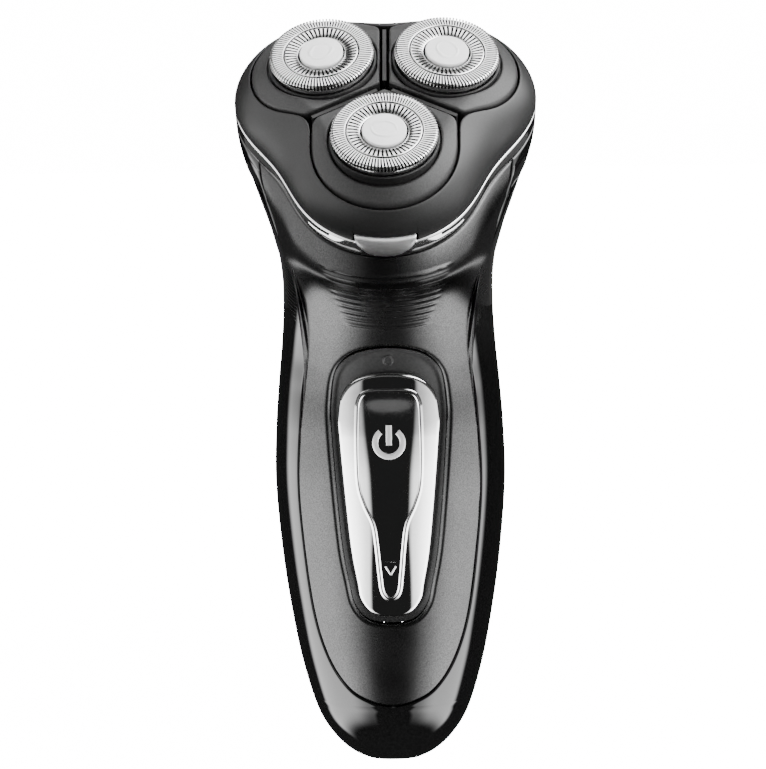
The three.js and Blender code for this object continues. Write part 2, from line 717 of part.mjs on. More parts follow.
// Handle
place(body, "front_panel", frontPanel(), FINISH.satinDark);
place(body, "rear_shell", rearShell(), FINISH.glossBlack);
place(body, "switch_bezel", switchBezel(), FINISH.mattBlack);
place(body, "switch_plate", switchPlate(), FINISH.chrome);
place(body, "switch_carrier", box(3.6, 3.8, 4, 0, -16.1, 58), FINISH.mattBlack);
place(body, "circuit_board", circuitBoard(), FINISH.board);
const batteryBody = battery();
place(body, "battery_1", batteryBody, FINISH.battery, [-7.4, 8, 42]);
place(body, "battery_2", batteryBody, FINISH.battery, [7.4, 8, 42]);
SCREW_HEIGHTS.forEach((z, i) => {
  place(body, `shell_screw_${i + 1}`, shellScrew(), FINISH.steel, [0, SCREW_SINK[i], z]);
});
place(body, "charging_socket", chargingSocket(), FINISH.mattBlack, [0, HANDLE_CENTRE_Y, 0]);
place(body, "socket_pin_1", socketPin(), FINISH.steel, [-PIN_X, HANDLE_CENTRE_Y, 0]);
place(body, "socket_pin_2", socketPin(), FINISH.steel, [PIN_X, HANDLE_CENTRE_Y, 0]);

export default shaver;
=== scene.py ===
"""Rotary electric shaver: surfaces, materials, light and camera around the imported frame.

Lengths are in millimetres and go to metres as each mesh is made.
"Head frame": origin on the shaving plane, z along the head's axis, -y towards the front shaving head.
"""
import json
import math

import bmesh
import bpy
import numpy as np
from mathutils import Matrix, Vector, kdtree


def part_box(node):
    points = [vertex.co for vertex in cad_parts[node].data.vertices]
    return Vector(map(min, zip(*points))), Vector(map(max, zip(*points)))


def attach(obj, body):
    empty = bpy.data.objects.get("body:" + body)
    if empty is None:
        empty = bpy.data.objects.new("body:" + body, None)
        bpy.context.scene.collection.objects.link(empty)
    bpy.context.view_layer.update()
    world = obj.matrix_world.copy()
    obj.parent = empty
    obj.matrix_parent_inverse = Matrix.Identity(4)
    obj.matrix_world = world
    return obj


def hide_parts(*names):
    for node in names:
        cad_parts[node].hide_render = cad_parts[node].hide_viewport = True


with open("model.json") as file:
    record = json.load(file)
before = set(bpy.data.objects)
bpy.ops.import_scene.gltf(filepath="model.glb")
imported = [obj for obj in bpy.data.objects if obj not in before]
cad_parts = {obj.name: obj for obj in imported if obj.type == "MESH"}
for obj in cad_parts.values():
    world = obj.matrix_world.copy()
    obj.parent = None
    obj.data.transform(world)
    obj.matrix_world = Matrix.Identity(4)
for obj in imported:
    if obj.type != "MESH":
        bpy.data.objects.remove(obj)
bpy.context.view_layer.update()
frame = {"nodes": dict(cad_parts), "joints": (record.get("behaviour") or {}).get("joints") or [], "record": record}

MM = 0.001
LOBES = (1, 2, 3)
JOINTS = {joint["name"]: joint for joint in frame["joints"]}


# ---------------------------------------------------------------- places read from the frame
def joint_place(name):
    """A joint's point in millimetres and its unit axis."""
    joint = JOINTS[name]
    axis = np.array(joint["axis"], float)
    point = np.array(joint.get("pos_m", (0, 0, 0)), float) / MM
    return point, axis / np.linalg.norm(axis)


PINION_DEPTH = 18.0  # the pinion's stated point lies this far under the shaving plane
pinion_point, HEAD_N = joint_place("pinion_spin")
HEAD_CENTRE = pinion_point + PINION_DEPTH * HEAD_N
HEAD_X = np.array([1.0, 0.0, 0.0])
HEAD_Y = np.cross(HEAD_N, HEAD_X)
HEAD_LEAN = math.atan2(-HEAD_N[1], HEAD_N[2])
HANDLE_CENTRE_Y = float(sum(corner[1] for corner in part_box("charging_socket")) / 2 / MM)


def head_points(x, y, z):
    """Head frame coordinates to the row frame."""
    x, y, z = np.broadcast_arrays(x, y, z)
    return HEAD_CENTRE + x[..., None] * HEAD_X + y[..., None] * HEAD_Y + z[..., None] * HEAD_N


def lobe_points(lobe, x, y, z):
    """The front lobe's head frame coordinates, turned to another lobe."""
    turn = 2 * math.pi * (lobe - 1) / len(LOBES)
    return head_points(x * math.cos(turn) - y * math.sin(turn), x * math.sin(turn) + y * math.cos(turn), z)


def cap_points(lobe, x, y, z):
    """A shaving cap's own coordinates to the row frame: z outward, -y away from the head's centre."""
    centre, normal = joint_place(f"cutter_spin_{lobe}")
    _, across = joint_place(f"petal_tilt_{lobe}")
    along = np.cross(normal, across)
    x, y, z = np.broadcast_arrays(x, y, z)
    return centre + x[..., None] * across + y[..., None] * along + z[..., None] * normal


# ---------------------------------------------------------------- mesh building
def tidy_mesh(mesh, sharp):
    work = bmesh.new()
    work.from_mesh(mesh)
    bmesh.ops.remove_doubles(work, verts=work.verts, dist=2e-7)
    bmesh.ops.dissolve_degenerate(work, edges=work.edges, dist=1e-8)
    loose = [vert for vert in work.verts if not vert.link_faces]
    bmesh.ops.delete(work, geom=loose, context="VERTS")
    bmesh.ops.recalc_face_normals(work, faces=work.faces)
    work.to_mesh(mesh)
    work.free()
    mesh.shade_smooth()
    mesh.set_sharp_from_angle(angle=math.radians(sharp))
    mesh.update()


class Shell:
    """Collects grids of points (in millimetres) and makes one mesh object of them."""

    def __init__(self):
        self.points = []
        self.faces = []
        self.slots = []
        self.count = 0

    def add_points(self, points):
        points = np.asarray(points, float).reshape(-1, 3)
        self.points.append(points)
        start = self.count
        self.count += len(points)
        return start

    def grid(self, grid, wrap=True, loop_rows=False, slot=0, face_slots=None):
        """Quads over [row, column, xyz]; wrap closes the columns and loop_rows the rows."""
        rows, columns = grid.shape[:2]
        start = self.add_points(grid)
        row, column = np.meshgrid(
            np.arange(rows if loop_rows else rows - 1),
            np.arange(columns if wrap else columns - 1),
            indexing="ij",
        )
        below = (row + 1) % rows
        beside = (column + 1) % columns
        quads = np.stack(
            [row * columns + column, row * columns + beside, below * columns + beside, below * columns + column], -1
        )
        self.faces += (quads.reshape(-1, 4) + start).tolist()
        if face_slots is None:
            self.slots += [slot] * row.size
        else:
            self.slots += list(np.asarray(face_slots)[: row.shape[0], : row.shape[1]].reshape(-1))
        return start

    def fan(self, start, count, centre, slot=0):
        """Closes a ring of points already added with a fan to a new centre point."""
        hub = self.add_points([centre])
        self.faces += [[start + i, start + (i + 1) % count, hub] for i in range(count)]
        self.slots += [slot] * count

    def make(self, name, *materials, sharp=35.0):
        mesh = bpy.data.meshes.new(name)
        points = np.vstack(self.points) * MM
        mesh.from_pydata(points.tolist(), [], self.faces)
        for material in materials:
            mesh.materials.append(material)
        mesh.polygons.foreach_set("material_index", np.asarray(self.slots, np.int32))
        tidy_mesh(mesh, sharp)
        piece = bpy.data.objects.new(name, mesh)
        bpy.context.scene.collection.objects.link(piece)
        return piece


def angles(count):
    return np.arange(count) * (2 * math.pi / count)


def spline_at(points, place):
    """Catmull-Rom line through rows of numbers, at places counted in rows."""
    points = np.asarray(points, float)
    place = np.asarray(place, float)
    i = np.clip(place.astype(int), 0, len(points) - 2)
    t = (place - i)[..., None]
    a, b, c, d = (points[np.clip(i + k, 0, len(points) - 1)] for k in (-1, 0, 1, 2))
    return 0.5 * (2 * b + (c - a) * t + (2 * a - 5 * b + 4 * c - d) * t**2 + (3 * b - a - 3 * c + d) * t**3)


def line_lengths(line):
    steps = np.linalg.norm(np.diff(line, axis=0), axis=1)
    return np.concatenate([[0], np.cumsum(steps)])


def resampled(line, wanted):
    """Rows of a line at shares of its length, 0 to 1."""
    lengths = line_lengths(line)
    return np.stack([np.interp(np.asarray(wanted) * lengths[-1], lengths, column) for column in line.T], -1)


def half_outline(half, samples=400):
    """The right half of a mirrored outline, from its lowest point to its highest, evenly stepped."""
    mirror = lambda point: [-point[0], point[1]]
    closed_top = half[-1][0] == 0
    padded = [mirror(half[1]), *half, mirror(half[-2]) if closed_top else half[-1]]
    line = spline_at(padded, np.linspace(1, len(half), samples * 3))
    line[:, 0] = np.maximum(line[:, 0], 0)
    return resampled(line, np.linspace(0, 1, samples))


def moved_out(line, distance):
    """A half outline moved outward, square to itself; its ends stay on the mirror line."""
    step = np.gradient(line, axis=0)
    step /= np.linalg.norm(step, axis=1, keepdims=True)
    moved = line + distance * np.stack([step[:, 1], -step[:, 0]], -1)
    moved[:, 0] = np.maximum(moved[:, 0], 0)
    return moved


def rounding(radius, steps=4):
    """[distance in from an edge, depth under the surface] round a quarter circle, from the wall to the surface."""
    turn = np.linspace(0, math.pi / 2, steps + 1)
    return [(radius * (1 - math.cos(t)), radius * (1 - math.sin(t))) for t in turn]


def edge_drop(distance, radius):
    """How far a rounded edge lies under the surface at a distance in from it."""
    short = np.clip(radius - distance, 0, radius)
    return radius - np.sqrt(radius**2 - short**2)


# ---------------------------------------------------------------- the head's surface
BAND_MEAN, BAND_LOBE, BAND_RIPPLE = 30.5, 3.95, -0.3
DOME_TOP, HEAD_BOTTOM = -2.0, -13.5
DOME_FLAT = 0.6  # share of the band's radius over which the dome is flat
CAP_CIRCLE_R = 15.2
PETAL_R = 14.9
PETAL_BORE_R = 11.65
GROOVE_HALF = 1.0
HEAD_WALL = 1.6
PETAL_GAP = 0.42
SIXTY = math.radians(60)


def band_radius(angle):
    """Radius of the rounded triangle under the head; angle 0 is the front."""
    return BAND_MEAN + BAND_LOBE * np.cos(3 * angle) + BAND_RIPPLE * np.cos(6 * angle)


def dome_height(x, y):
    share = np.hypot(x, y) / band_radius(np.arctan2(x, -y))
    t = np.clip((share - DOME_FLAT) / (1 - DOME_FLAT), 0, 1)
    return DOME_TOP + (HEAD_BOTTOM - DOME_TOP) * (1 - (1 - t**1.6) ** 0.625)


def petal_reach(direction):
    """From the cap's centre to the petal's edge; direction 0 is across, 90 degrees to the head's centre."""
    sine = np.sin(direction)
    cosine = np.sqrt(np.cos(direction) ** 2 + 1e-6)
    side = np.where(sine > 0, PETAL_R / cosine, PETAL_R)
    slope = math.sin(SIXTY) * sine + math.cos(SIXTY) * cosine
    edge = (CAP_CIRCLE_R * math.sin(SIXTY) - GROOVE_HALF) / np.maximum(slope, 1e-2)
    softness = 30
    return (side**-softness + edge**-softness) ** (-1 / softness)


def opening_radius(angle, grow=PETAL_GAP):
    """The housing's three-lobed opening, measured from the head's axis."""
    third = 2 * math.pi / 3
    a = np.abs((angle + third / 2) % third - third / 2)
    reach = PETAL_R + grow
    circle = CAP_CIRCLE_R * np.cos(a) + np.sqrt(np.maximum(reach**2 - (CAP_CIRCLE_R * np.sin(a)) ** 2, 0))
    side = reach / np.maximum(np.sin(a), 0.05)
    radius = np.where(a < math.atan2(reach, CAP_CIRCLE_R), circle, side)
    width = math.radians(9)
    slope_at_tip = reach * math.cos(SIXTY) / math.sin(SIXTY) ** 2
    return radius + slope_at_tip * np.clip(width - (third / 2 - a), 0, None) ** 2 / (2 * width)


# ---------------------------------------------------------------- the handle's surface
HANDLE_STATIONS = [  # height, half width, depth to the front and to the rear
    [0, 6.4, 4.7, 4.9], [2, 9.8, 7.7, 7.9], [5.5, 13.3, 10.8, 11.1], [11, 16.6, 13.9, 14.2],
    [20, 19.4, 16.8, 17], [30, 21.5, 18.9, 18.9], [45, 23.7, 20.7, 20.3], [62, 25.1, 21.3, 21],
    [75, 24.8, 20.9, 21.3],
]
NECK_STATIONS = [  # tilt in degrees, half width; front, centre and rear as radii from the fan's pivot
    [0, 24, 39.7, 60, 81.5], [8, 23.2, 39.9, 60.6, 83.2], [16, 22.7, 40.3, 61.8, 85.6],
    [24, 22.9, 40.4, 63.8, 88.5], [32, 24.2, 39.6, 67, 92.4], [38, 25.3, 39, 71, 96.8],
]
FAN_PIVOT_Y = HANDLE_CENTRE_Y - 60
FAN_PIVOT_Z = 85
BLEND_FROM_TILT = 30  # from here up the sections turn into the band's triangle
SHELL_TOP = -17.7
SHELL_WALL = 1.8
SQUARENESS = 2.3


def build_sections():
    """Each section: centre y and z, tilt, half width, front depth, rear depth, share of the triangle."""
    sections = [[HANDLE_CENTRE_Y, z, 0, half, front, rear, 0] for z, half, front, rear in HANDLE_STATIONS]
    for tilt, half, front, centre, rear in NECK_STATIONS:
        lean = math.radians(tilt)
        t = np.clip((tilt - BLEND_FROM_TILT) / (math.degrees(HEAD_LEAN) - BLEND_FROM_TILT), 0, 1)
        sections.append([
            FAN_PIVOT_Y + centre * math.cos(lean), FAN_PIVOT_Z + centre * math.sin(lean),
            tilt, half, centre - front, rear - centre, t * t * (3 - 2 * t),
        ])
    _, top_y, top_z = HEAD_CENTRE + SHELL_TOP * HEAD_N
    sections.append([top_y, top_z, math.degrees(HEAD_LEAN), 31, 34, 26.5, 1])
    return np.array(sections)


SECTIONS = build_sections()
TOP_PLACE = len(SECTIONS) - 1


def surface(place, angle, inset=0.0):
    """A point of the handle: place counts along the sections, angle 0 is the front, inset is inward."""
    place, angle, inset = np.broadcast_arrays(np.asarray(place, float), angle, inset)
    cy, cz, tilt, half, front, rear, triangle = np.moveaxis(spline_at(SECTIONS, place), -1, 0)
    lean = np.radians(tilt)
    depth = np.where(np.cos(angle) > 0, front, rear)
    across, forward = (np.abs(share) ** SQUARENESS for share in (np.sin(angle) / half, np.cos(angle) / depth))
    oval = (across + forward) ** (-1 / SQUARENESS)
    radius = oval + (band_radius(angle) - oval) * triangle - inset
    along = -radius * np.cos(angle)
    return np.stack([radius * np.sin(angle), cy + along * np.cos(lean), cz + along * np.sin(lean)], -1)


def build_lookup():
    """Points of the front surface as seen from the front, to start a search from."""
    steps = np.linspace(0, TOP_PLACE + 0.2, 150), np.radians(np.linspace(-100, 100, 101))
    places, turns = np.meshgrid(*steps, indexing="ij")
    spots = surface(places, turns).reshape(-1, 3)
    tree = kdtree.KDTree(len(spots))
    for i, spot in enumerate(spots):
        tree.insert((spot[0], 0, spot[2]), i)
    tree.balance()
    return tree, places.reshape(-1), turns.reshape(-1)


LOOKUP = build_lookup()


def front_place(x, z, inset=0.0):
    """Place and angle of the front surface's point that is seen at x, z from the front."""
    x, z, inset = (np.array(v, float) for v in np.broadcast_arrays(x, z, inset))
    tree, places, turns = LOOKUP
    found = [tree.find((a, 0, b))[1] for a, b in zip(x.reshape(-1), z.reshape(-1))]
    place = places[found].reshape(x.shape)
    turn = turns[found].reshape(x.shape)
    step = 1e-4
    for _ in range(8):
        here = surface(place, turn, inset)
        by_place = (surface(place + step, turn, inset) - here) / step
        by_turn = (surface(place, turn + step, inset) - here) / step
        dx, dz = x - here[..., 0], z - here[..., 2]
        det = by_place[..., 0] * by_turn[..., 2] - by_turn[..., 0] * by_place[..., 2]
        det = np.where(np.abs(det) < 1e-6, 1e-6, det)
        place = place + np.clip((dx * by_turn[..., 2] - by_turn[..., 0] * dz) / det, -0.5, 0.5)
        turn = turn + np.clip((by_place[..., 0] * dz - dx * by_place[..., 2]) / det, -0.3, 0.3)
        place = np.clip(place, 0, TOP_PLACE + 0.6)
    return place, turn


def on_front(x, z, inset=0.0):
    return surface(*front_place(x, z, inset), inset)


# Half outlines on the front of the handle: [half width, height], mirrored left to right.
GAP = 0.3
PANEL_OUTLINE = half_outline([
    [0, 15.3], [5, 16.5], [9.4, 19.4], [13.5, 25.8], [16.6, 36], [18.6, 52], [19.4, 66],
    [18.4, 82], [16.9, 95], [18.8, 107], [22.6, 117.5], [26, 127], [26.8, 136], [26.8, 152],
])
RECESS_OUTLINE = half_outline([
    [0, 34.7], [4.8, 35.5], [7.6, 38.6], [8.8, 43.5], [10.4, 53], [12.3, 75.4], [12.3, 83],
    [11, 89], [7, 92.6], [0, 93.8],
])
PLATE_OUTLINE = half_outline([
    [0, 35.9], [4, 36.6], [6.5, 39.6], [7.3, 43.4], [8.8, 53], [10.7, 75], [10.7, 79.5],
    [9.6, 84.5], [6, 87.6], [0, 88.5],
])


def whole_loop(half):
    """A closed loop from a right half (first and last points on the mirror line): x or angle changes sign."""
    half = np.asarray(half, float)
    mirror = half[-2:0:-1].copy()
    mirror[..., 0] *= -1
    return np.concatenate([half, mirror])


# ---------------------------------------------------------------- materials
def shader(name, color, metallic=0.0, roughness=0.5, **sockets):
    material = bpy.data.materials.new(name)
    material.use_nodes = True
    tree = material.node_tree
    bsdf = tree.nodes["Principled BSDF"]
    bsdf.inputs["Base Color"].default_value = (*color, 1)
    bsdf.inputs["Metallic"].default_value = metallic
    bsdf.inputs["Roughness"].default_value = roughness
    for socket, value in sockets.items():
        bsdf.inputs[socket.replace("_", " ")].default_value = value
    return material


def noise(tree, scale, detail=3.0, stretch=(1, 1, 1)):
    coords = tree.nodes.new("ShaderNodeTexCoord")
    mapping = tree.nodes.new("ShaderNodeMapping")
    mapping.inputs["Scale"].default_value = stretch
    texture = tree.nodes.new("ShaderNodeTexNoise")
    texture.inputs["Scale"].default_value = scale
    texture.inputs["Detail"].default_value = detail
    tree.links.new(coords.outputs["Object"], mapping.inputs["Vector"])
    tree.links.new(mapping.outputs["Vector"], texture.inputs["Vector"])
    return texture.outputs["Fac"]


def vary_color(material, dark, light, scale, detail=3.0, stretch=(1, 1, 1)):
    tree = material.node_tree
    ramp = tree.nodes.new("ShaderNodeValToRGB")
    ramp.color_ramp.elements[0].position = 0.35
    ramp.color_ramp.elements[1].position = 0.65
    ramp.color_ramp.elements[0].color = (*dark, 1)
    ramp.color_ramp.elements[1].color = (*light, 1)
    tree.links.new(noise(tree, scale, detail, stretch), ramp.inputs["Fac"])
    tree.links.new(ramp.outputs["Color"], tree.nodes["Principled BSDF"].inputs["Base Color"])


def vary_roughness(material, low, high, scale, detail=3.0, stretch=(1, 1, 1)):
    tree = material.node_tree
    span = tree.nodes.new("ShaderNodeMapRange")
    span.inputs["From Min"].default_value = 0.3
    span.inputs["From Max"].default_value = 0.7
    span.inputs["To Min"].default_value = low
    span.inputs["To Max"].default_value = high
    tree.links.new(noise(tree, scale, detail, stretch), span.inputs["Value"])
    tree.links.new(span.outputs["Result"], tree.nodes["Principled BSDF"].inputs["Roughness"])


def grain(material, scale, strength, depth, detail=2.0, stretch=(1, 1, 1)):
    tree = material.node_tree
    bump = tree.nodes.new("ShaderNodeBump")
    bump.inputs["Strength"].default_value = strength
    bump.inputs["Distance"].default_value = depth
    tree.links.new(noise(tree, scale, detail, stretch), bump.inputs["Height"])
    tree.links.new(bump.outputs["Normal"], tree.nodes["Principled BSDF"].inputs["Normal"])


def finished(name, value, metallic, roughness, spread=0.15, scale=1800, rough_spread=0.04, rough_scale=60,
             bump=0.0, bump_scale=5000, stretch=(1, 1, 1), tint=(1, 1, 1), **sockets):
    """A moulded or metal finish: fine colour mottle, slow roughness drift and, if wanted, a grain."""
    color = tuple(value * k for k in tint)
    material = shader(name, color, metallic, roughness, **sockets)
    dark = tuple(max(c * (1 - spread), 0) for c in color)
    light = tuple(min(c * (1 + spread), 1) for c in color)
    vary_color(material, dark, light, scale, stretch=stretch)
    vary_roughness(material, max(roughness - rough_spread, 0.01), roughness + rough_spread, rough_scale)
    if bump:
        grain(material, bump_scale, bump, 0.00002, stretch=stretch)
    return material


SATIN_DARK = finished("satin_flake", 0.062, 1.0, 0.27, spread=0.3, scale=5200, bump=0.04, bump_scale=5200)
HOUSING = finished("satin_housing", 0.018, 0.0, 0.38, spread=0.22, scale=5200, bump=0.05, bump_scale=5200,
                   Specular_IOR_Level=0.38)
PETAL_GREY = finished("petal_plastic", 0.045, 0.3, 0.42, spread=0.12, scale=3000, bump=0.08, bump_scale=4200,
                      Specular_IOR_Level=0.3)
PIANO_BLACK = finished("piano_black", 0.004, 0.0, 0.05, spread=0.3, rough_spread=0.02, rough_scale=90,
                       Specular_IOR_Level=0.7)
MATT_BLACK = finished("matt_black", 0.012, 0.0, 0.5, spread=0.3, bump=0.2)
RECESS_BLACK = finished("recess_black", 0.02, 0.2, 0.38, spread=0.2, bump=0.1)
CHROME = finished("chrome", 0.9, 1.0, 0.045, spread=0.03, rough_spread=0.015, rough_scale=140)
SATIN_SILVER = finished("satin_silver", 0.75, 0.5, 0.3, spread=0.05, scale=2500, bump=0.1, stretch=(0.1, 1, 1))
CAP_STEEL = finished("cap_steel", 0.9, 1.0, 0.2, spread=0.04, scale=2500, bump=0.08)
# Painted shade for the shaving caps' slot floors, the groove between the tracks and the well round the disc.
SLOT_PAINTED_SHADE = finished("slot_shadow", 0.008, 0.0, 0.6, spread=0.3, Specular_IOR_Level=0.12)
DISC_PALE = finished("cap_disc", 0.92, 0.0, 0.3, spread=0.02, scale=900, bump=0.05)
MARK_SILVER = finished("mark_silver", 0.8, 0.3, 0.35, spread=0.03)
STEEL = finished("plain_steel", 0.55, 1.0, 0.28, spread=0.08, stretch=(1, 1, 0.1), bump=0.1)
NYLON = finished("nylon", 0.62, 0.0, 0.45, spread=0.05, scale=700, tint=(1, 0.98, 0.92), bump=0.1)
BRASS = finished("brass", 0.75, 1.0, 0.3, spread=0.08, tint=(1, 0.76, 0.36))
BOARD = finished("board", 0.2, 0.0, 0.45, spread=0.15, scale=500, tint=(0.2, 1, 0.45), bump=0.15, bump_scale=900)
CELL = finished("battery_sleeve", 0.35, 0.0, 0.35, spread=0.05, tint=(0.25, 0.6, 1))

CAD_FINISH = {
    "satin_dark": HOUSING, "petal_grey": PETAL_GREY, "gloss_black": PIANO_BLACK, "matt_black": MATT_BLACK,
    "chrome": CHROME, "satin_silver": SATIN_SILVER, "steel": STEEL, "cap_disc": DISC_PALE, "nylon": NYLON,
    "brass": BRASS, "board": BOARD, "battery": CELL,
}


NODE_SLOTS = {row["node"]: row["material_slot"] for row in frame["record"]["subparts"]}
for node, made in frame["nodes"].items():
    for holder in made.material_slots:
        holder.material = CAD_FINISH[NODE_SLOTS[node]]


def placed(piece, body, slot, *nodes):
    """Hands a finished piece to the frame: the body it rides on and the CAD nodes it stands for, which it hides; the
    slot argument is not used.
    """
    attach(piece, body)
    if nodes:
        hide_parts(*nodes)
    return piece


# ---------------------------------------------------------------- front panel
SEAM_POINTS, BAND_POINTS = 190, 70  # columns along the panel's side edge and along the band
PANEL_ROWS = 112
PANEL_EDGE_R = 0.35
RECESS_ROLL_R = 0.9
# Shares along the right half of the panel's edge, and of the recess's edge that each looks at.
EDGE_MATCH = np.array([
    [0, 0], [0.174, 0.122], [0.273, 0.323], [0.36, 0.506], [0.46, 0.735], [0.54, 0.811],
    [0.615, 0.835], [0.686, 0.855], [0.78, 0.885], [0.845, 0.93], [1, 1],
])
TOP_STEP = np.linalg.norm(surface(TOP_PLACE, 0.5) - surface(TOP_PLACE - 0.01, 0.5)) / 0.01


def on_surface_resampled(path, wanted):
    """Rows of [angle, place] at shares of the path's true length on the handle."""
    lengths = line_lengths(surface(path[:, 1], path[:, 0]))
    return np.stack([np.interp(np.asarray(wanted) * lengths[-1], lengths, column) for column in path.T], -1)


def panel_edge(inward):
    """Right half of the panel's edge moved inward, as [angle, place]: up the side, then along the band."""
    line = moved_out(PANEL_OUTLINE, -inward)
    place, angle = front_place(line[:, 0], line[:, 1])
    top = TOP_PLACE - inward / TOP_STEP
    stop = int(np.argmax(place > top))
    share = (top - place[stop - 1]) / (place[stop] - place[stop - 1])
    corner = angle[stop - 1] + share * (angle[stop] - angle[stop - 1])
    side = np.vstack([np.stack([angle, place], -1)[:stop], [[corner, top]]])
    side = on_surface_resampled(side, np.linspace(0, 1, SEAM_POINTS))
    band = np.stack([np.linspace(corner, 0, BAND_POINTS + 1)[1:], np.full(BAND_POINTS, top)], -1)
    return np.vstack([side, band])


def recess_edge(outward, shares):
    """Right half of the recess's edge moved outward, as [angle, place], at shares of its length."""
    line = resampled(moved_out(RECESS_OUTLINE, outward), shares)
    place, angle = front_place(line[:, 0], line[:, 1])
    angle[0] = angle[-1] = 0
    return np.stack([angle, place], -1)


RIB_COUNT, RIB_TOP, RIB_PITCH = 10, 109.6, 1.26
RIB_HALF_LENGTH, RIB_SHORTER = 14.3, 0.5
RIB_SMILE = 0.0135
RIB_HALF_WIDTH = 0.42


def rib_height(x, z):
    """Raised grip ribs across the neck; each one curves up at its ends."""
    height = np.zeros_like(x)
    for k in range(RIB_COUNT):
        off = np.abs(z - (RIB_TOP - RIB_PITCH * k + RIB_SMILE * x**2)) / RIB_HALF_WIDTH
        end = np.clip((RIB_HALF_LENGTH - RIB_SHORTER * k - np.abs(x)) / 2.5, 0, 1)
        crest = 0.26 if k == 0 else 0.17
        height += crest * np.where(off < 1, np.cos(off * math.pi / 2) ** 1.4, 0) * end * end * (3 - 2 * end)
    return height


def front_panel():
    outer = panel_edge(PANEL_EDGE_R)
    lengths = line_lengths(surface(outer[:, 1], outer[:, 0]))
    shares = np.interp(lengths / lengths[-1], *EDGE_MATCH.T)
    inner = recess_edge(GAP + RECESS_ROLL_R, shares)
    rows = [(recess_edge(GAP, shares), SHELL_WALL)]
    rows += [(recess_edge(GAP + d, shares), depth) for d, depth in rounding(RECESS_ROLL_R, 6)[:-1]]
    steps = np.linspace(0, 1, PANEL_ROWS)[:, None, None]
    field = inner + steps * (outer - inner)
    rows += [(path, 0.0) for path in field]
    rows += [(panel_edge(d), depth) for d, depth in rounding(PANEL_EDGE_R, 4)[-2::-1]]
    rows += [(panel_edge(0), SHELL_WALL)]
    rows += [(field[k], SHELL_WALL) for k in np.linspace(PANEL_ROWS - 1, 0, 8).astype(int)]
    loops = []
    for path, depth in rows:
        angle, place = whole_loop(path).T
        points = surface(place, angle, depth)
        if depth == 0:
            points = surface(place, angle, -rib_height(points[:, 0], points[:, 2]))
        loops.append(points)
    shell = Shell()
    shell.grid(np.array(loops), loop_rows=True)
    return shell.make("front_panel_skin", SATIN_DARK)


# ---------------------------------------------------------------- rear shell
SEAM_EDGE_R = 0.35
REAR_COLUMNS = 96
SOCKET_HALF_LENGTH, SOCKET_HALF_WIDTH = 5.6, 4.1
PANEL_TIP = PANEL_OUTLINE[0, 1]
SCREW_HEIGHTS = (26, 98)
SCREW_HOLE_R = 2.3


def seam_angle(grow, places):
    """Angle of the seam, moved outward, at places along the handle; zero under the panel's tip."""
    line = moved_out(PANEL_OUTLINE, grow)
    line[0] = (0, PANEL_TIP - grow)
    place, angle = front_place(line[:, 0], line[:, 1])
    angle[0] = 0
    place = np.maximum.accumulate(place) + 1e-9 * np.arange(len(place))
    return np.interp(places, place, angle, left=0.0)


def stadium_radius(angle, half_length, half_width):
    flat = half_length - half_width
    sine, cosine = np.abs(np.sin(angle)), np.maximum(np.abs(np.cos(angle)), 1e-6)
    straight = half_width / cosine
    round_end = flat * sine + np.sqrt(np.maximum(half_width**2 - (flat * cosine) ** 2, 0))
    return np.where(straight * sine < flat, straight, round_end)


def rear_shell():
    line = moved_out(PANEL_OUTLINE, GAP)
    line[0, 0] = 0
    even = resampled(line, np.linspace(0, 1, 190))
    seam_places = front_place(even[:, 0], even[:, 1])[0]
    seam_places = seam_places[seam_places < TOP_PLACE - 0.5 / TOP_STEP]
    tip_place = seam_places[0]
    below = np.concatenate([[0, 0.08], np.linspace(0.2, tip_place, 30)[:-1]])
    near_top = TOP_PLACE - np.array([0.35, 0.2, 0.1, 0.03, 0]) / TOP_STEP
    places = np.concatenate([below, seam_places, near_top])

    distances = (0, 0.04, 0.11, 0.21, 0.35)
    near = np.stack([seam_angle(GAP + d, places) for d in distances], -1)
    u = np.linspace(0, 1, REAR_COLUMNS + 1)[1:]
    rest = math.pi * u + near[:, -1:] * (1 - u) ** 2
    right = np.concatenate([near, rest], axis=1)
    grid_place = np.broadcast_to(places[:, None], right.shape)

    heights = surface(grid_place, right)[..., 2]
    distance = np.full(right.shape, 1.0)
    for k, d in enumerate(distances):
        distance[:, k] = np.where(right[:, k] > 1e-6, d, PANEL_TIP - GAP - heights[:, k])
    drop = edge_drop(np.clip(distance, 0, 1), SEAM_EDGE_R)
    drop = np.maximum(drop, edge_drop((TOP_PLACE - grid_place) * TOP_STEP, SEAM_EDGE_R))
    drop[0] = 0.35

    def both_sides(place, angle, depth):
        half = surface(place, angle, depth)
        other = half[:, -2::-1] * (-1, 1, 1)
        return np.concatenate([half, other], axis=1)

    outer = both_sides(grid_place, right, drop)
    inner = both_sides(grid_place, right, SHELL_WALL)
    inner[..., 2] = np.maximum(inner[..., 2], SHELL_WALL)
    turn = np.concatenate([right[0], -right[0, -2::-1]])
    reach = stadium_radius(turn, SOCKET_HALF_LENGTH, SOCKET_HALF_WIDTH)
    hole = np.stack([reach * np.sin(turn), HANDLE_CENTRE_Y - reach * np.cos(turn), 0 * turn], -1)
    outer = np.concatenate([[hole], outer])
    inner = np.concatenate([[hole + (0, 0, SHELL_WALL)], inner])
    tip_row = len(below) + 1

    shell = Shell()
    shell.grid(outer, wrap=False)
    shell.grid(inner, wrap=False)
    for side in (0, -1):
        shell.grid(np.stack([outer[tip_row:, side], inner[tip_row:, side]], axis=1), wrap=False)
    for end in (0, -1):
        shell.grid(np.stack([outer[end], inner[end]]), wrap=False)
    return shell.make("rear_shell_skin", PIANO_BLACK)


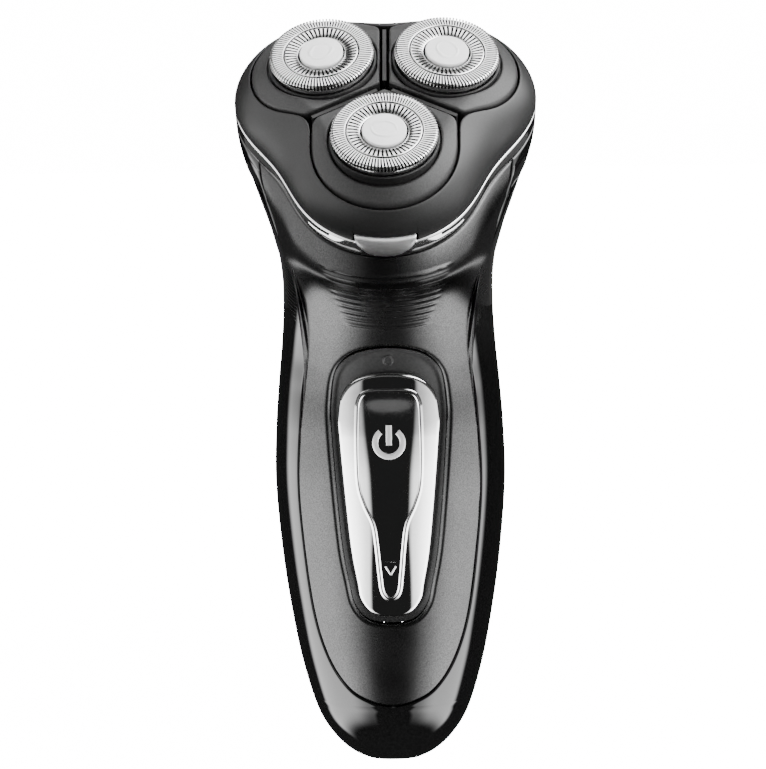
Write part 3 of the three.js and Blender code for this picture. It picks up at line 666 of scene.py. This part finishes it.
def rod_y(radius, front, back, z, count=48):
    """A closed cylinder along y, as a cutter."""
    turn = angles(count)
    rings = [[radius * np.cos(turn), np.full(count, y), z + radius * np.sin(turn)] for y in (front, back)]
    shell = Shell()
    start = shell.grid(np.moveaxis(np.array(rings), 1, -1))
    shell.fan(start, count, (0, front, z))
    shell.fan(start + count, count, (0, back, z))
    return shell.make("cutter_rod", PIANO_BLACK)


def drilled(piece, *cutters, sharp=35.0):
    """The piece with the cutters taken away, as plain mesh."""
    for cutter in cutters:
        modifier = piece.modifiers.new("drill", "BOOLEAN")
        modifier.operation = "DIFFERENCE"
        modifier.solver = "EXACT"
        modifier.object = cutter
    evaluated = piece.evaluated_get(bpy.context.evaluated_depsgraph_get())
    mesh = bpy.data.meshes.new_from_object(evaluated)
    piece.modifiers.clear()
    piece.data = mesh
    for cutter in cutters:
        bpy.data.objects.remove(cutter)
    mesh.shade_smooth()
    mesh.set_sharp_from_angle(angle=math.radians(sharp))
    return piece


placed(front_panel(), "handle", "satin_dark", "front_panel")
holes = [rod_y(SCREW_HOLE_R, HANDLE_CENTRE_Y + 8.5, HANDLE_CENTRE_Y + 40, z) for z in SCREW_HEIGHTS]
placed(drilled(rear_shell(), *holes), "handle", "gloss_black", "rear_shell")


# ---------------------------------------------------------------- switch
LOOP_COLUMNS = 150  # columns along a half outline of the switch
TRAY_BACK, TRAY_DEPTH = 3.1, 1.75
TRAY_ROLL = 1.7  # width of the rolled wall
PLATE_BACK = 1.25
PLATE_EDGE_R = 0.7
PLATE_CROWN = (-0.45, 0.9)  # depth of its middle, and how much lower its edge lies


def outline_rows(outline, rows, middle, columns=LOOP_COLUMNS):
    """Closed loops on the front surface from [distance inward, depth] rows, then loops that shrink to a middle line.

    middle: lowest and highest point of that line, number of loops and the depth they lie at.
    """
    shares = np.linspace(0, 1, columns)
    loops = [(whole_loop(resampled(moved_out(outline, -inward), shares)), depth) for inward, depth in rows]
    low, high, count, depth = middle
    last = loops[-1][0]
    share = (last[:, 1] - last[:, 1].min()) / np.ptp(last[:, 1])
    target = np.stack([0 * share, low + share * (high - low)], -1)
    for t in np.linspace(0, 1, count + 1)[1:]:
        loops.append((last + t * (target - last), depth))
    return loops


def on_front_loops(loops):
    return np.array([on_front(path[:, 0], path[:, 1], depth) for path, depth in loops])


def plate_depth(x, z):
    """Depth of the switch plate's crowned face under the handle's surface; it stands proud in the middle."""
    width = np.interp(z, [36, 75, 88], [7.2, 10.7, 10.7])
    share = (np.abs(x / width) ** 4 + np.abs((z - 62.2) / 26.3) ** 4) ** 0.25
    return PLATE_CROWN[0] + PLATE_CROWN[1] * np.clip(share, 0, 1) ** 2


def switch_tray():
    turn = np.linspace(0, 1, 9)
    roll = [(0.15 + TRAY_ROLL * t, 0.95 + (TRAY_DEPTH - 0.95) * (1 - (1 - t) ** 2.2)) for t in turn]
    rows = [(0, TRAY_BACK), (0, 0.95), (0.06, 0.88), *roll]
    top = on_front_loops(outline_rows(RECESS_OUTLINE, rows, (44, 86, 14, TRAY_DEPTH)))
    under = on_front_loops(outline_rows(RECESS_OUTLINE, [(0.0, TRAY_BACK)], (44, 86, 6, TRAY_BACK)))
    shell = Shell()
    shell.grid(top)
    shell.grid(under)
    return shell.make("switch_tray", RECESS_BLACK)


def switch_cover():
    wall = [(0, PLATE_BACK), (0, 1.15)]
    crowned = rounding(PLATE_EDGE_R, 6)
    loops = outline_rows(PLATE_OUTLINE, wall + crowned, (45, 80, 36, 0.0), 200)
    loops = loops[: len(wall)] + [(path, depth + plate_depth(*path.T)) for path, depth in loops[len(wall):]]
    top = on_front_loops(loops)
    under = on_front_loops(outline_rows(PLATE_OUTLINE, [(0, PLATE_BACK)], (45, 80, 6, PLATE_BACK), 200))
    shell = Shell()
    shell.grid(top)
    shell.grid(under)
    return shell.make("switch_cover", CHROME, sharp=50)


def bead(name, path, material, half_width, height, closed=True, base=plate_depth, sunk=0.25, steps=8):
    """A rounded raised line along [x, z] points of the front; `base` gives the depth it stands at."""
    path = np.asarray(path, float)
    along = np.roll(path, -1, 0) - np.roll(path, 1, 0) if closed else np.gradient(path, axis=0)
    along /= np.linalg.norm(along, axis=1, keepdims=True)
    side = np.stack([along[:, 1], -along[:, 0]], -1)
    turns = np.linspace(0, math.pi, steps + 1)
    section = [(half_width * math.cos(t), height * math.sin(t)) for t in turns]
    section += [(-half_width * 0.8, -sunk), (half_width * 0.8, -sunk)]
    columns = []
    for across, rise in section:
        spot = path + across * side
        columns.append(on_front(spot[:, 0], spot[:, 1], base(*spot.T) - rise))
    grid = np.stack(columns, axis=1)
    shell = Shell()
    if closed:
        shell.grid(grid, loop_rows=True)
    else:
        start = shell.grid(grid)
        count = len(section)
        shell.fan(start, count, grid[0].mean(0))
        shell.fan(start + (len(path) - 1) * count, count, grid[-1].mean(0))
    return shell.make(name, material, sharp=60)


TEARDROP = [[0, 40.0], [1.7, 41.5], [2.3, 45.6], [2.9, 52], [3.6, 56.5], [5.4, 60.5], [6.6, 64.5], [6.9, 70],
            [6.8, 78], [6.4, 82.6], [4.6, 84.5], [0, 84.8]]
POWER_Z = 73.9
POWER_R = 2.9


def arc(centre_z, radius, start, end, count=48):
    turn = np.radians(np.linspace(start, end, count))
    return np.stack([radius * np.cos(turn), centre_z + radius * np.sin(turn)], -1)


placed(switch_tray(), "handle", "gloss_black", "switch_bezel")
cover = placed(switch_cover(), "switch_slider", "chrome", "switch_plate")
teardrop = whole_loop(resampled(half_outline(TEARDROP), np.linspace(0, 1, 160)))
switch_marks = [
    bead("switch_loop", teardrop, CHROME, 0.5, 0.34),
    bead("power_ring", arc(POWER_Z, POWER_R, 128, 412), MARK_SILVER, 0.62, 0.14, closed=False),
    bead("power_bar", [[0, z] for z in np.linspace(POWER_Z - 0.5, POWER_Z + 3.7, 16)], MARK_SILVER, 0.62, 0.14,
         closed=False),
    bead("switch_line", [[x, 48.4] for x in np.linspace(-1.3, 1.3, 9)], CHROME, 0.16, 0.12, closed=False),
    bead("switch_arrow", [[0.11 * k, 45.5 + 0.19 * abs(k)] for k in range(-10, 11)], CHROME, 0.16, 0.12,
         closed=False),
]
for mark in switch_marks:
    placed(mark, "switch_slider", "chrome")
placed(bead("off_mark", arc(91.0, 0.95, 0, 352.5, 48), RECESS_BLACK, 0.22, 0.14,
            base=lambda x, z: TRAY_DEPTH + 0 * x),
       "handle", "gloss_black")


# ---------------------------------------------------------------- head housing and petals
HEAD_COLUMNS = 480
NOTCH_HALF, NOTCH_TOP = 6.6, -11.9  # for the release button
NOTCH_BOTTOM = 5.6
BAND_TOP, BAND_BOTTOM, BAND_WALL = -13.9, -17.4, 2.2
HINGE_Y, HINGE_Z = 27.2, -13.7
KNUCKLE_R, KNUCKLE_X, KNUCKLE_HALF = 1.9, 5.1, 1.9  # the outer knuckles, on the housing
LUG_HALF = 2.6  # half the length of the knuckle between them, on the band
HOUSING_EDGE_R = 0.45
RIM_DEPTH = 3.4  # of the housing's wall round the petals


def column_angles():
    """Even angles round the head, with extra ones at the sides of the button's notch."""
    even = np.linspace(-math.pi, math.pi, HEAD_COLUMNS, endpoint=False)
    fine = np.linspace(0, 0.25, 400)
    reach = band_radius(fine) * np.sin(fine)
    corners = [NOTCH_HALF - 0.02, NOTCH_HALF + 0.02, NOTCH_HALF + 0.3]
    sides = np.interp([*corners, *np.linspace(0.4, NOTCH_HALF - 0.3, 30)], reach, fine)
    return np.unique(np.round(np.concatenate([even, sides, -sides]), 6))


def head_grid(angle, radius, height):
    return head_points(radius * np.sin(angle), -radius * np.cos(angle), height)


def crossbar(shell, radius, x0, x1, y, z, count=40):
    """A closed bar along x in the head frame, with softened ends."""
    turn = angles(count)
    rings = [(x0, radius - 0.25), (x0 + 0.25, radius), (x1 - 0.25, radius), (x1, radius - 0.25)]
    grid = np.array([head_points(np.full(count, x), y + r * np.cos(turn), z + r * np.sin(turn)) for x, r in rings])
    start = shell.grid(grid)
    shell.fan(start, count, head_points(x0, y, z))
    shell.fan(start + 3 * count, count, head_points(x1, y, z))


def head_housing():
    angle = column_angles()
    rim = opening_radius(angle)
    band = band_radius(angle)
    across = np.abs(band * np.sin(angle))
    notched = (across < NOTCH_HALF) & (np.cos(angle) > 0)
    bottom = np.where(notched, NOTCH_TOP, HEAD_BOTTOM)
    first = rim + HOUSING_EDGE_R
    start = np.arcsin(np.clip((first / band - DOME_FLAT) / (1 - DOME_FLAT), 0, 1) ** 0.8)
    fall = np.clip((DOME_TOP - bottom) / (DOME_TOP - HEAD_BOTTOM), 0, 1)
    end = np.arccos(np.clip(1 - fall, 0, 1) ** 0.8)

    def dome_row(t):
        theta = start + (end - start) * t
        share = DOME_FLAT + (1 - DOME_FLAT) * np.sin(theta) ** 1.25
        height = DOME_TOP + (HEAD_BOTTOM - DOME_TOP) * (1 - np.cos(theta) ** 1.25)
        return band * share, height

    def dome_at(radius):
        t = np.clip((radius / band - DOME_FLAT) / (1 - DOME_FLAT), 0, 1)
        return DOME_TOP + (HEAD_BOTTOM - DOME_TOP) * (1 - (1 - t**1.6) ** 0.625)

    rows = [(rim + 0.02, dome_at(rim) - RIM_DEPTH)]
    rows += [(rim + d, dome_at(rim + d) - depth) for d, depth in rounding(HOUSING_EDGE_R, 5)[:-1]]
    rows += [dome_row(t) for t in np.linspace(0, 1, 34) ** 0.9]
    last_radius, last_height = rows[-1]
    rows.append((last_radius - 0.12, last_height))
    wall = np.maximum(last_radius - HEAD_WALL, rim + 0.3)
    rows.append((wall, last_height))
    under = np.minimum(np.minimum(dome_at(rim) - RIM_DEPTH, -7.2), dome_at(wall)) - 1.2
    rows.append((wall, np.maximum(last_height, under)))
    grid = np.array([head_grid(angle, r, np.broadcast_to(h, r.shape)) for r, h in rows])
    shell = Shell()
    shell.grid(grid, loop_rows=True)
    for x in (-KNUCKLE_X, KNUCKLE_X):
        crossbar(shell, KNUCKLE_R, x - KNUCKLE_HALF, x + KNUCKLE_HALF, HINGE_Y, HINGE_Z)
    return shell.make("head_shell", HOUSING, sharp=50)


PETAL_BOTTOM, PETAL_STEP, PETAL_THROAT_R = -8.6, -4.6, 11.0
PETAL_EDGE_R = 0.55
BORE_EDGE_R = 0.5


def petal(lobe):
    direction = angles(360)
    reach = petal_reach(direction)

    _, cap_axis = joint_place(f"cutter_spin_{lobe}")
    tilt = math.tan(math.acos(min(1.0, float(cap_axis @ HEAD_N))))

    def centre_y(height):
        return -CAP_CIRCLE_R - height * tilt

    def ring(radius, height):
        radius = np.broadcast_to(radius, direction.shape)
        height = np.broadcast_to(height, direction.shape)
        y0 = np.where(radius < PETAL_BORE_R + 1.2, centre_y(height), -CAP_CIRCLE_R)
        return radius * np.cos(direction), y0 + radius * np.sin(direction), height

    def top_ring(radius, depth):
        radius = np.broadcast_to(radius, direction.shape)
        share = np.clip((reach - radius) / (reach - PETAL_BORE_R), 0, 1)
        y0 = -CAP_CIRCLE_R + share * (centre_y(DOME_TOP) + CAP_CIRCLE_R)
        x, y = radius * np.cos(direction), y0 + radius * np.sin(direction)
        return x, y, dome_height(x, y) - depth

    rings = [ring(reach, PETAL_BOTTOM)]
    rings += [top_ring(reach - d, depth) for d, depth in rounding(PETAL_EDGE_R, 6)]
    outer, inner = reach - PETAL_EDGE_R, PETAL_BORE_R + BORE_EDGE_R
    rings += [top_ring(outer + (inner - outer) * t, 0.0) for t in np.linspace(0, 1, 15)[1:]]
    rings += [top_ring(PETAL_BORE_R + d, depth) for d, depth in rounding(BORE_EDGE_R, 5)[-2::-1]]
    rings += [ring(PETAL_BORE_R, PETAL_STEP), ring(PETAL_THROAT_R, PETAL_STEP), ring(PETAL_THROAT_R, PETAL_BOTTOM)]
    grid = np.array([lobe_points(lobe, *r) for r in rings])
    shell = Shell()
    # Painted shade: the petal's outer side wall, its bore and its underside get the matt black finish. They are the
    # same grey plastic as the top, only shaded.
    walls = np.zeros((len(rings), len(direction)), int)
    walls[0] = walls[-4:] = 1
    shell.grid(grid, loop_rows=True, face_slots=walls)
    return shell.make(f"petal_top_{lobe}", PETAL_GREY, MATT_BLACK, sharp=50)


# ---------------------------------------------------------------- shaving caps
OUTER_SLOTS = 96
DISC_R = 4.55
SLOT_DEPTH = 0.55
SLOT_SLANT = math.radians(2.2)
BAR_SHARE = 0.42
RING_GROOVE, DISC_WELL = slice(18, 21), slice(31, 34)  # rows of the cap's profile painted dark all round as shade: the groove between the tracks and the well round the disc


def shaving_cap(lobe):
    profile = np.array([  # radius, height, slot track (0 none, 1 outer, 2 inner)
        [10.0, -4.2, 0], [10.55, -4.2, 0], [10.55, -1.4, 0], [10.95, -1.3, 0], [11.0, -1.15, 0], [11.0, -0.95, 0],
        [11.0, -0.9, 1], [11.0, -0.65, 1], [10.95, -0.42, 1], [10.82, -0.2, 1], [10.6, -0.06, 1], [10.35, 0, 1],
        [9.8, 0.02, 1], [9.2, 0.03, 1], [8.6, 0.02, 1], [8.26, 0.0, 1], [8.2, 0.0, 0], [8.06, -0.01, 0],
        [7.98, -0.06, 0], [7.95, -0.26, 0], [7.76, -0.26, 0], [7.73, -0.06, 0], [7.65, 0.0, 0], [7.5, 0.02, 0],
        [7.45, 0.02, 2], [7.1, -0.02, 2], [6.6, -0.09, 2], [6.1, -0.18, 2], [5.6, -0.3, 2], [5.25, -0.42, 2],
        [5.2, -0.44, 0], [4.98, -0.5, 0], [4.9, -0.56, 0], [4.88, -1.0, 0], [10.0, -1.0, 0],
    ])
    radius, height, track = profile.T
    slope = np.gradient(profile[:, :2], axis=0)
    slope /= np.linalg.norm(slope, axis=1, keepdims=True)
    share = np.array([0, BAR_SHARE, BAR_SHARE + 0.04, 0.96])
    turn = ((np.arange(OUTER_SLOTS)[:, None] + share) * (2 * math.pi / OUTER_SLOTS)).reshape(-1)
    column = np.arange(len(turn))
    open_outer = (column % 4) >= 2
    open_inner = (column % 8) >= 4
    mask = ((track[:, None] == 1) & open_outer) | ((track[:, None] == 2) & open_inner)
    steep, flat = np.abs(slope[:, 1:]), np.abs(slope[:, :1])
    r = radius[:, None] - mask * SLOT_DEPTH * steep * (track[:, None] == 1) * (height[:, None] < -0.05)
    z = height[:, None] - mask * SLOT_DEPTH * np.clip(flat, 0.3, 1)
    phi = turn + SLOT_SLANT * (radius[:, None] - 8) / 3
    # Painted shade: the slot floors, the groove and the disc's well take the dark finish, where the real slots and gaps
    # only lie in shadow.
    floor = mask & np.roll(mask, -1, 1)
    floor[:-1] &= mask[1:] & np.roll(mask, -1, 1)[1:]
    floor[RING_GROOVE] = floor[DISC_WELL] = True
    shell = Shell()
    shell.grid(cap_points(lobe, r * np.cos(phi), r * np.sin(phi), z), loop_rows=True, face_slots=floor.astype(int))
    return shell.make(f"cap_face_{lobe}", CAP_STEEL, SLOT_PAINTED_SHADE, sharp=40)


def cap_disc(lobe):
    count = 144
    turn = angles(count)
    rows = [(4.4, -1.3), (DISC_R, -1.2), (DISC_R, -0.05), (4.5, 0.06), (4.38, 0.12), (4.15, 0.14)]
    rows += [(r, 0.14 + 0.22 * (1 - (r / 4.15) ** 2)) for r in np.linspace(4.15, 0.12, 44)[1:]]
    radius, height = np.array(rows).T
    r, phi = radius[:, None], turn[None, :]
    sweep = (phi + 0.55 * (r - 2)) % math.pi
    curl = np.exp(-(((r - 2.3 - 0.25 * np.cos(sweep * 2)) / 0.28) ** 2)) * np.clip(np.sin(sweep), 0, 1) ** 0.6
    z = height[:, None] + 0.15 * curl * (r < 3.6)
    shell = Shell()
    grid = cap_points(lobe, r * np.cos(phi), r * np.sin(phi), z)
    start = shell.grid(grid)
    shell.fan(start, count, cap_points(lobe, 0, 0, -1.3))
    shell.fan(start + (len(rows) - 1) * count, count, cap_points(lobe, 0, 0, 0.36))
    return shell.make(f"cap_button_{lobe}", DISC_PALE, sharp=60)


def cap_holder(lobe):
    profile = np.array([
        [10.85, -2.5], [10.85, -4.3], [11.35, -4.3], [11.35, -2.55], [11.3, -2.44], [11.2, -2.4], [10.95, -2.4],
    ])
    radius, height = profile[:, :1], profile[:, 1:]
    turn = angles(128)
    shell = Shell()
    shell.grid(cap_points(lobe, radius * np.cos(turn), radius * np.sin(turn), height), loop_rows=True)
    return shell.make(f"cap_ring_{lobe}", MATT_BLACK)


placed(head_housing(), "head_unit", "satin_dark", "head_housing")
for lobe in LOBES:
    placed(petal(lobe), f"petal_{lobe}", "petal_grey", f"petal_{lobe}")
    placed(cap_holder(lobe), f"petal_{lobe}", "matt_black", f"cap_holder_{lobe}")
    placed(shaving_cap(lobe), f"shaving_head_{lobe}", "steel", f"shaving_cap_{lobe}")
    placed(cap_disc(lobe), f"shaving_head_{lobe}", "cap_disc", f"cap_disc_{lobe}")


# ---------------------------------------------------------------- trim band and release button
BAND_BEVEL = 0.4
BRIDGE_TOP = -17.22


def trim_band():
    angle = column_angles()
    band = band_radius(angle)
    across = np.abs(band * np.sin(angle))
    front = np.cos(angle) > 0
    arch = NOTCH_TOP - NOTCH_BOTTOM * np.sqrt(np.clip(1 - (across / NOTCH_HALF) ** 2, 0, 1))
    top = np.where(front & (across < NOTCH_HALF), np.minimum(BAND_TOP, arch), BAND_TOP)
    top = np.maximum(top, BRIDGE_TOP)
    room = np.clip((top - BAND_BOTTOM) / (BAND_TOP - BAND_BOTTOM), 0, 1)
    bevel = BAND_BEVEL * np.where(room < 1, np.minimum(room, 0.3), 1)
    rows = [
        (band - BAND_WALL, BAND_BOTTOM + 0 * top), (band - 0.2, BAND_BOTTOM + 0 * top),
        (band - 0.05, BAND_BOTTOM + 0.05 * room), (band, BAND_BOTTOM + 0.2 * room),
        (band, (BAND_BOTTOM + top) / 2), (band, top - bevel), (band - 0.03, top - bevel + 0.05 * room),
        (band - 0.3, top - 0.03 * room), (band - 0.38, top), (band - BAND_WALL, top),
    ]
    grid = np.array([head_grid(angle, r, h) for r, h in rows])
    shell = Shell()
    shell.grid(grid, loop_rows=True)
    crossbar(shell, KNUCKLE_R, -LUG_HALF, LUG_HALF, HINGE_Y, HINGE_Z)
    return shell.make("trim_band", CHROME, sharp=30)


BUTTON_HALF, BUTTON_TOP, BUTTON_HEIGHT, BUTTON_PROUD, BUTTON_BACK = 6.3, -12.2, 5.0, 0.6, -30.5


def release_button():
    fine = np.linspace(0, 0.4, 200)
    face_x, face_y = band_radius(fine) * np.sin(fine), -band_radius(fine) * np.cos(fine)
    arc_turn = np.linspace(0, -math.pi, 90)
    outline = np.stack([BUTTON_HALF * np.cos(arc_turn), BUTTON_TOP + BUTTON_HEIGHT * np.sin(arc_turn)], -1)
    flat = np.stack([np.linspace(-BUTTON_HALF, BUTTON_HALF, 42)[1:-1], np.full(40, BUTTON_TOP)], -1)
    outline = np.vstack([outline, flat])
    outline = 0.5 * outline + 0.25 * (np.roll(outline, 1, 0) + np.roll(outline, -1, 0))
    middle = np.array([0, BUTTON_TOP - 1.9])

    def loop(scale, depth):
        spot = middle + (outline - middle) * scale
        crown = 0.55 * np.clip((BUTTON_TOP - 1.9 - spot[:, 1]) / 3.2, 0, 1) ** 2
        crown += 0.4 * np.clip((spot[:, 1] - (BUTTON_TOP - 1.9)) / 1.9, 0, 1) ** 2
        face = np.interp(np.abs(spot[:, 0]), face_x, face_y) - BUTTON_PROUD - 0.15
        return head_points(spot[:, 0], face + crown + depth, spot[:, 1])

    back = head_points(outline[:, 0], np.full(len(outline), BUTTON_BACK), outline[:, 1])
    rows = [back, loop(1.0, 0.55), loop(0.99, 0.3), loop(0.965, 0.12), loop(0.93, 0.03), loop(0.88, 0.0)]
    rows += [loop(s, 0.0) for s in np.linspace(0.88, 0.03, 18)[1:]]
    shell = Shell()
    start = shell.grid(np.array(rows))
    count = len(outline)
    shell.fan(start, count, back.mean(0))
    shell.fan(start + (len(rows) - 1) * count, count, rows[-1].mean(0))
    return shell.make("release_catch", SATIN_SILVER, sharp=50)


placed(trim_band(), "handle", "chrome", "trim_ring")
placed(release_button(), "release_button", "satin_silver", "release_button")


# ---------------------------------------------------------------- stage, light and camera
CAMERA_DISTANCE, CAMERA_ELEVATION, CAMERA_AZIMUTH, CAMERA_ROLL = 485.86, 8.0, 0.8, -0.8
TARGET_Z = 83.51
LENS = 104.35
SIDE_SHIFT = 1.35
SHIFT_Y = HANDLE_CENTRE_Y - 1.5


def staged(thing, *rays):
    """Stage dressing, which only the rays named here can see: camera, diffuse, glossy, shadow."""
    for ray in {"camera", "diffuse", "glossy", "shadow"} - set(rays):
        setattr(thing, f"visible_{ray}", False)


def glowing(name, color, light, roughness=0.5):
    material = shader(name, color, roughness=roughness)
    bsdf = material.node_tree.nodes["Principled BSDF"]
    bsdf.inputs["Emission Color"].default_value = (1, 1, 1, 1)
    bsdf.inputs["Emission Strength"].default_value = light
    return material


def step_between(tree, value, low, high, start=0.0, end=1.0):
    """A node's output that runs smoothly from `start` to `end` as the value goes from low to high."""
    span = tree.nodes.new("ShaderNodeMapRange")
    span.interpolation_type = "SMOOTHSTEP"
    for socket, number in (("From Min", low), ("From Max", high), ("To Min", start), ("To Max", end)):
        span.inputs[socket].default_value = number
    tree.links.new(value, span.inputs["Value"])
    return span.outputs["Result"]


def combined(tree, operation, *values):
    """Values or outputs joined left to right by one math operation."""
    total = values[0]
    for value in values[1:]:
        node = tree.nodes.new("ShaderNodeMath")
        node.operation = operation
        for socket, item in zip(node.inputs, (total, value)):
            if isinstance(item, (int, float)):
                socket.default_value = item
            else:
                tree.links.new(item, socket)
        total = node.outputs[0]
    return total


def sine(degrees):
    return math.sin(math.radians(degrees))


# The studio as the object sees it. Every angle is in degrees: round from the front, or above the horizon.
WALL_LIGHT, DIM_LIGHT = 7.0, 0.015
UPPER_LEFT_LIGHT, UPPER_RIGHT_LIGHT = 2.2, 9.0
CEILING_LIGHT, BACK_LIGHT = 3.6, 1.0
BACKGROUND_LIGHT = 16.0
BAND_CARD_LIGHT = 3.5


def studio_world():
    world = bpy.data.worlds.new("studio")
    bpy.context.scene.world = world
    world.use_nodes = True
    tree = world.node_tree
    parts = tree.nodes.new("ShaderNodeSeparateXYZ")
    tree.links.new(tree.nodes.new("ShaderNodeTexCoord").outputs["Generated"], parts.inputs[0])
    x, y, z = parts.outputs
    turn = combined(tree, "ARCTAN2", x, combined(tree, "MULTIPLY", y, -1.0))
    aside = combined(tree, "MAXIMUM", turn, combined(tree, "MULTIPLY", turn, -1.0))

    def round_from(low, high, start=0.0, end=1.0, value=aside):
        return step_between(tree, value, math.radians(low), math.radians(high), start, end)

    def above(low, high, start=0.0, end=1.0):
        return step_between(tree, z, sine(low), sine(high), start, end)

    def patch(light, *edges):
        return combined(tree, "MULTIPLY", *edges, light)

    sides = combined(tree, "MULTIPLY", round_from(17, 24), round_from(22, 55, 0.3, 1),
                     round_from(-120, -108, value=turn), round_from(92, 104, 1, 0, value=turn))
    walls = patch(WALL_LIGHT, sides, above(-66, -48), above(-9, 1, 1, 0))
    upper_left = patch(UPPER_LEFT_LIGHT, sides, above(-9, 1), above(48, 60, 1, 0))
    upper_right = patch(UPPER_RIGHT_LIGHT, round_from(20, 45, value=turn), round_from(110, 130, 1, 0, value=turn),
                        above(8, 26), above(58, 70, 1, 0))
    ceiling = patch(CEILING_LIGHT, above(66, 74))
    behind = patch(BACK_LIGHT, round_from(125, 150), above(25, 36), above(50, 60, 1, 0))
    studio = combined(tree, "ADD", walls, upper_left, upper_right, ceiling, behind, DIM_LIGHT)
    path = tree.nodes.new("ShaderNodeLightPath")
    pick = tree.nodes.new("ShaderNodeMix")
    tree.links.new(path.outputs["Is Camera Ray"], pick.inputs[0])
    tree.links.new(studio, pick.inputs[2])
    pick.inputs[3].default_value = BACKGROUND_LIGHT
    background = tree.nodes["Background"]
    background.inputs["Color"].default_value = (1, 1, 1, 1)
    tree.links.new(pick.outputs[0], background.inputs["Strength"])


studio_world()

azimuth, elevation, roll = (math.radians(v) for v in (CAMERA_AZIMUTH, CAMERA_ELEVATION, CAMERA_ROLL))
back = Vector((math.sin(azimuth) * math.cos(elevation), -math.cos(azimuth) * math.cos(elevation), math.sin(elevation)))
right = Vector((math.cos(azimuth), math.sin(azimuth), 0))
up = back.cross(right)
camera_x = right * math.cos(roll) + up * math.sin(roll)
camera_y = up * math.cos(roll) - right * math.sin(roll)
spot = Vector((0, SHIFT_Y, TARGET_Z)) + back * CAMERA_DISTANCE - camera_x * SIDE_SHIFT

FLOOR_HALF, FLOOR_DROP = 3000, 0.02
floor_shell = Shell()
sides = (-FLOOR_HALF, FLOOR_HALF)
floor_shell.grid(np.array([[(x, y, -FLOOR_DROP) for x in sides] for y in sides]), wrap=False)
staged(floor_shell.make("floor_plane", glowing("floor", (0.9, 0.9, 0.9), BACKGROUND_LIGHT, 0.6)), "camera")

# A dark flag round the neck keeps the walls' light off the neck and the underside of the head.
FLAG_Z, FLAG_HOLE_R, FLAG_R = 99.0, 32.0, 230.0
FLAG_CENTRE_Y = 8.0
flag_turn = angles(72)
flag_rings = [[r * np.cos(flag_turn), FLAG_CENTRE_Y + r * np.sin(flag_turn), FLAG_Z + 0 * flag_turn]
              for r in (FLAG_HOLE_R, FLAG_R)]
flag_shell = Shell()
flag_shell.grid(np.moveaxis(np.array(flag_rings), 1, -1))
flag_black = shader("flag_black", (0.003, 0.003, 0.003), roughness=1.0)
staged(flag_shell.make("dark_flag", flag_black), "diffuse", "glossy", "shadow")

# Two narrow lit cards just over the flag, a little in front of the line that the chrome band mirrors to the camera.
CARD_Z = FLAG_Z + 1
CARD_TURNS = -np.radians([32, 24, 16, 10])  # round the band from its front, on the left
CARD_HALF_WIDTH = 2.2
CARD_FORWARD = 4.9


def mirrored_at_cards(turn):
    """The point at the cards' height that the band's face mirrors to the camera, from angles round the band."""
    step = 1e-4
    middle = (BAND_TOP + BAND_BOTTOM) / 2
    here, ahead, behind = (head_grid(turn + k, band_radius(turn + k), middle) for k in (0, step, -step))
    face = np.cross(ahead - behind, HEAD_N)
    face /= np.linalg.norm(face, axis=1, keepdims=True)
    sight = here - np.array(spot)
    ray = sight - 2 * np.sum(sight * face, axis=1, keepdims=True) * face
    return here + ray * ((CARD_Z - here[:, 2:]) / ray[:, 2:])


card_path = mirrored_at_cards(CARD_TURNS) - (0, CARD_FORWARD, 0)
for side, number in ((1, 1), (-1, 2)):
    card_shell = Shell()
    card_shell.grid(np.array([(card_path + (-shift, -shift, 0)) * (side, 1, 1)
                              for shift in (-CARD_HALF_WIDTH, CARD_HALF_WIDTH)]), wrap=False)
    staged(card_shell.make(f"band_card_{number}", glowing(f"band_card_{number}", (0, 0, 0), BAND_CARD_LIGHT)), "glossy")

camera_data = bpy.data.cameras.new("camera")
camera_data.lens = LENS
camera_data.sensor_width = 36
camera = bpy.data.objects.new("camera", camera_data)
turned_to = Matrix((camera_x, camera_y, back)).transposed().to_4x4()
camera.matrix_world = Matrix.Translation(spot * MM) @ turned_to
bpy.context.scene.collection.objects.link(camera)
bpy.context.scene.camera = camera
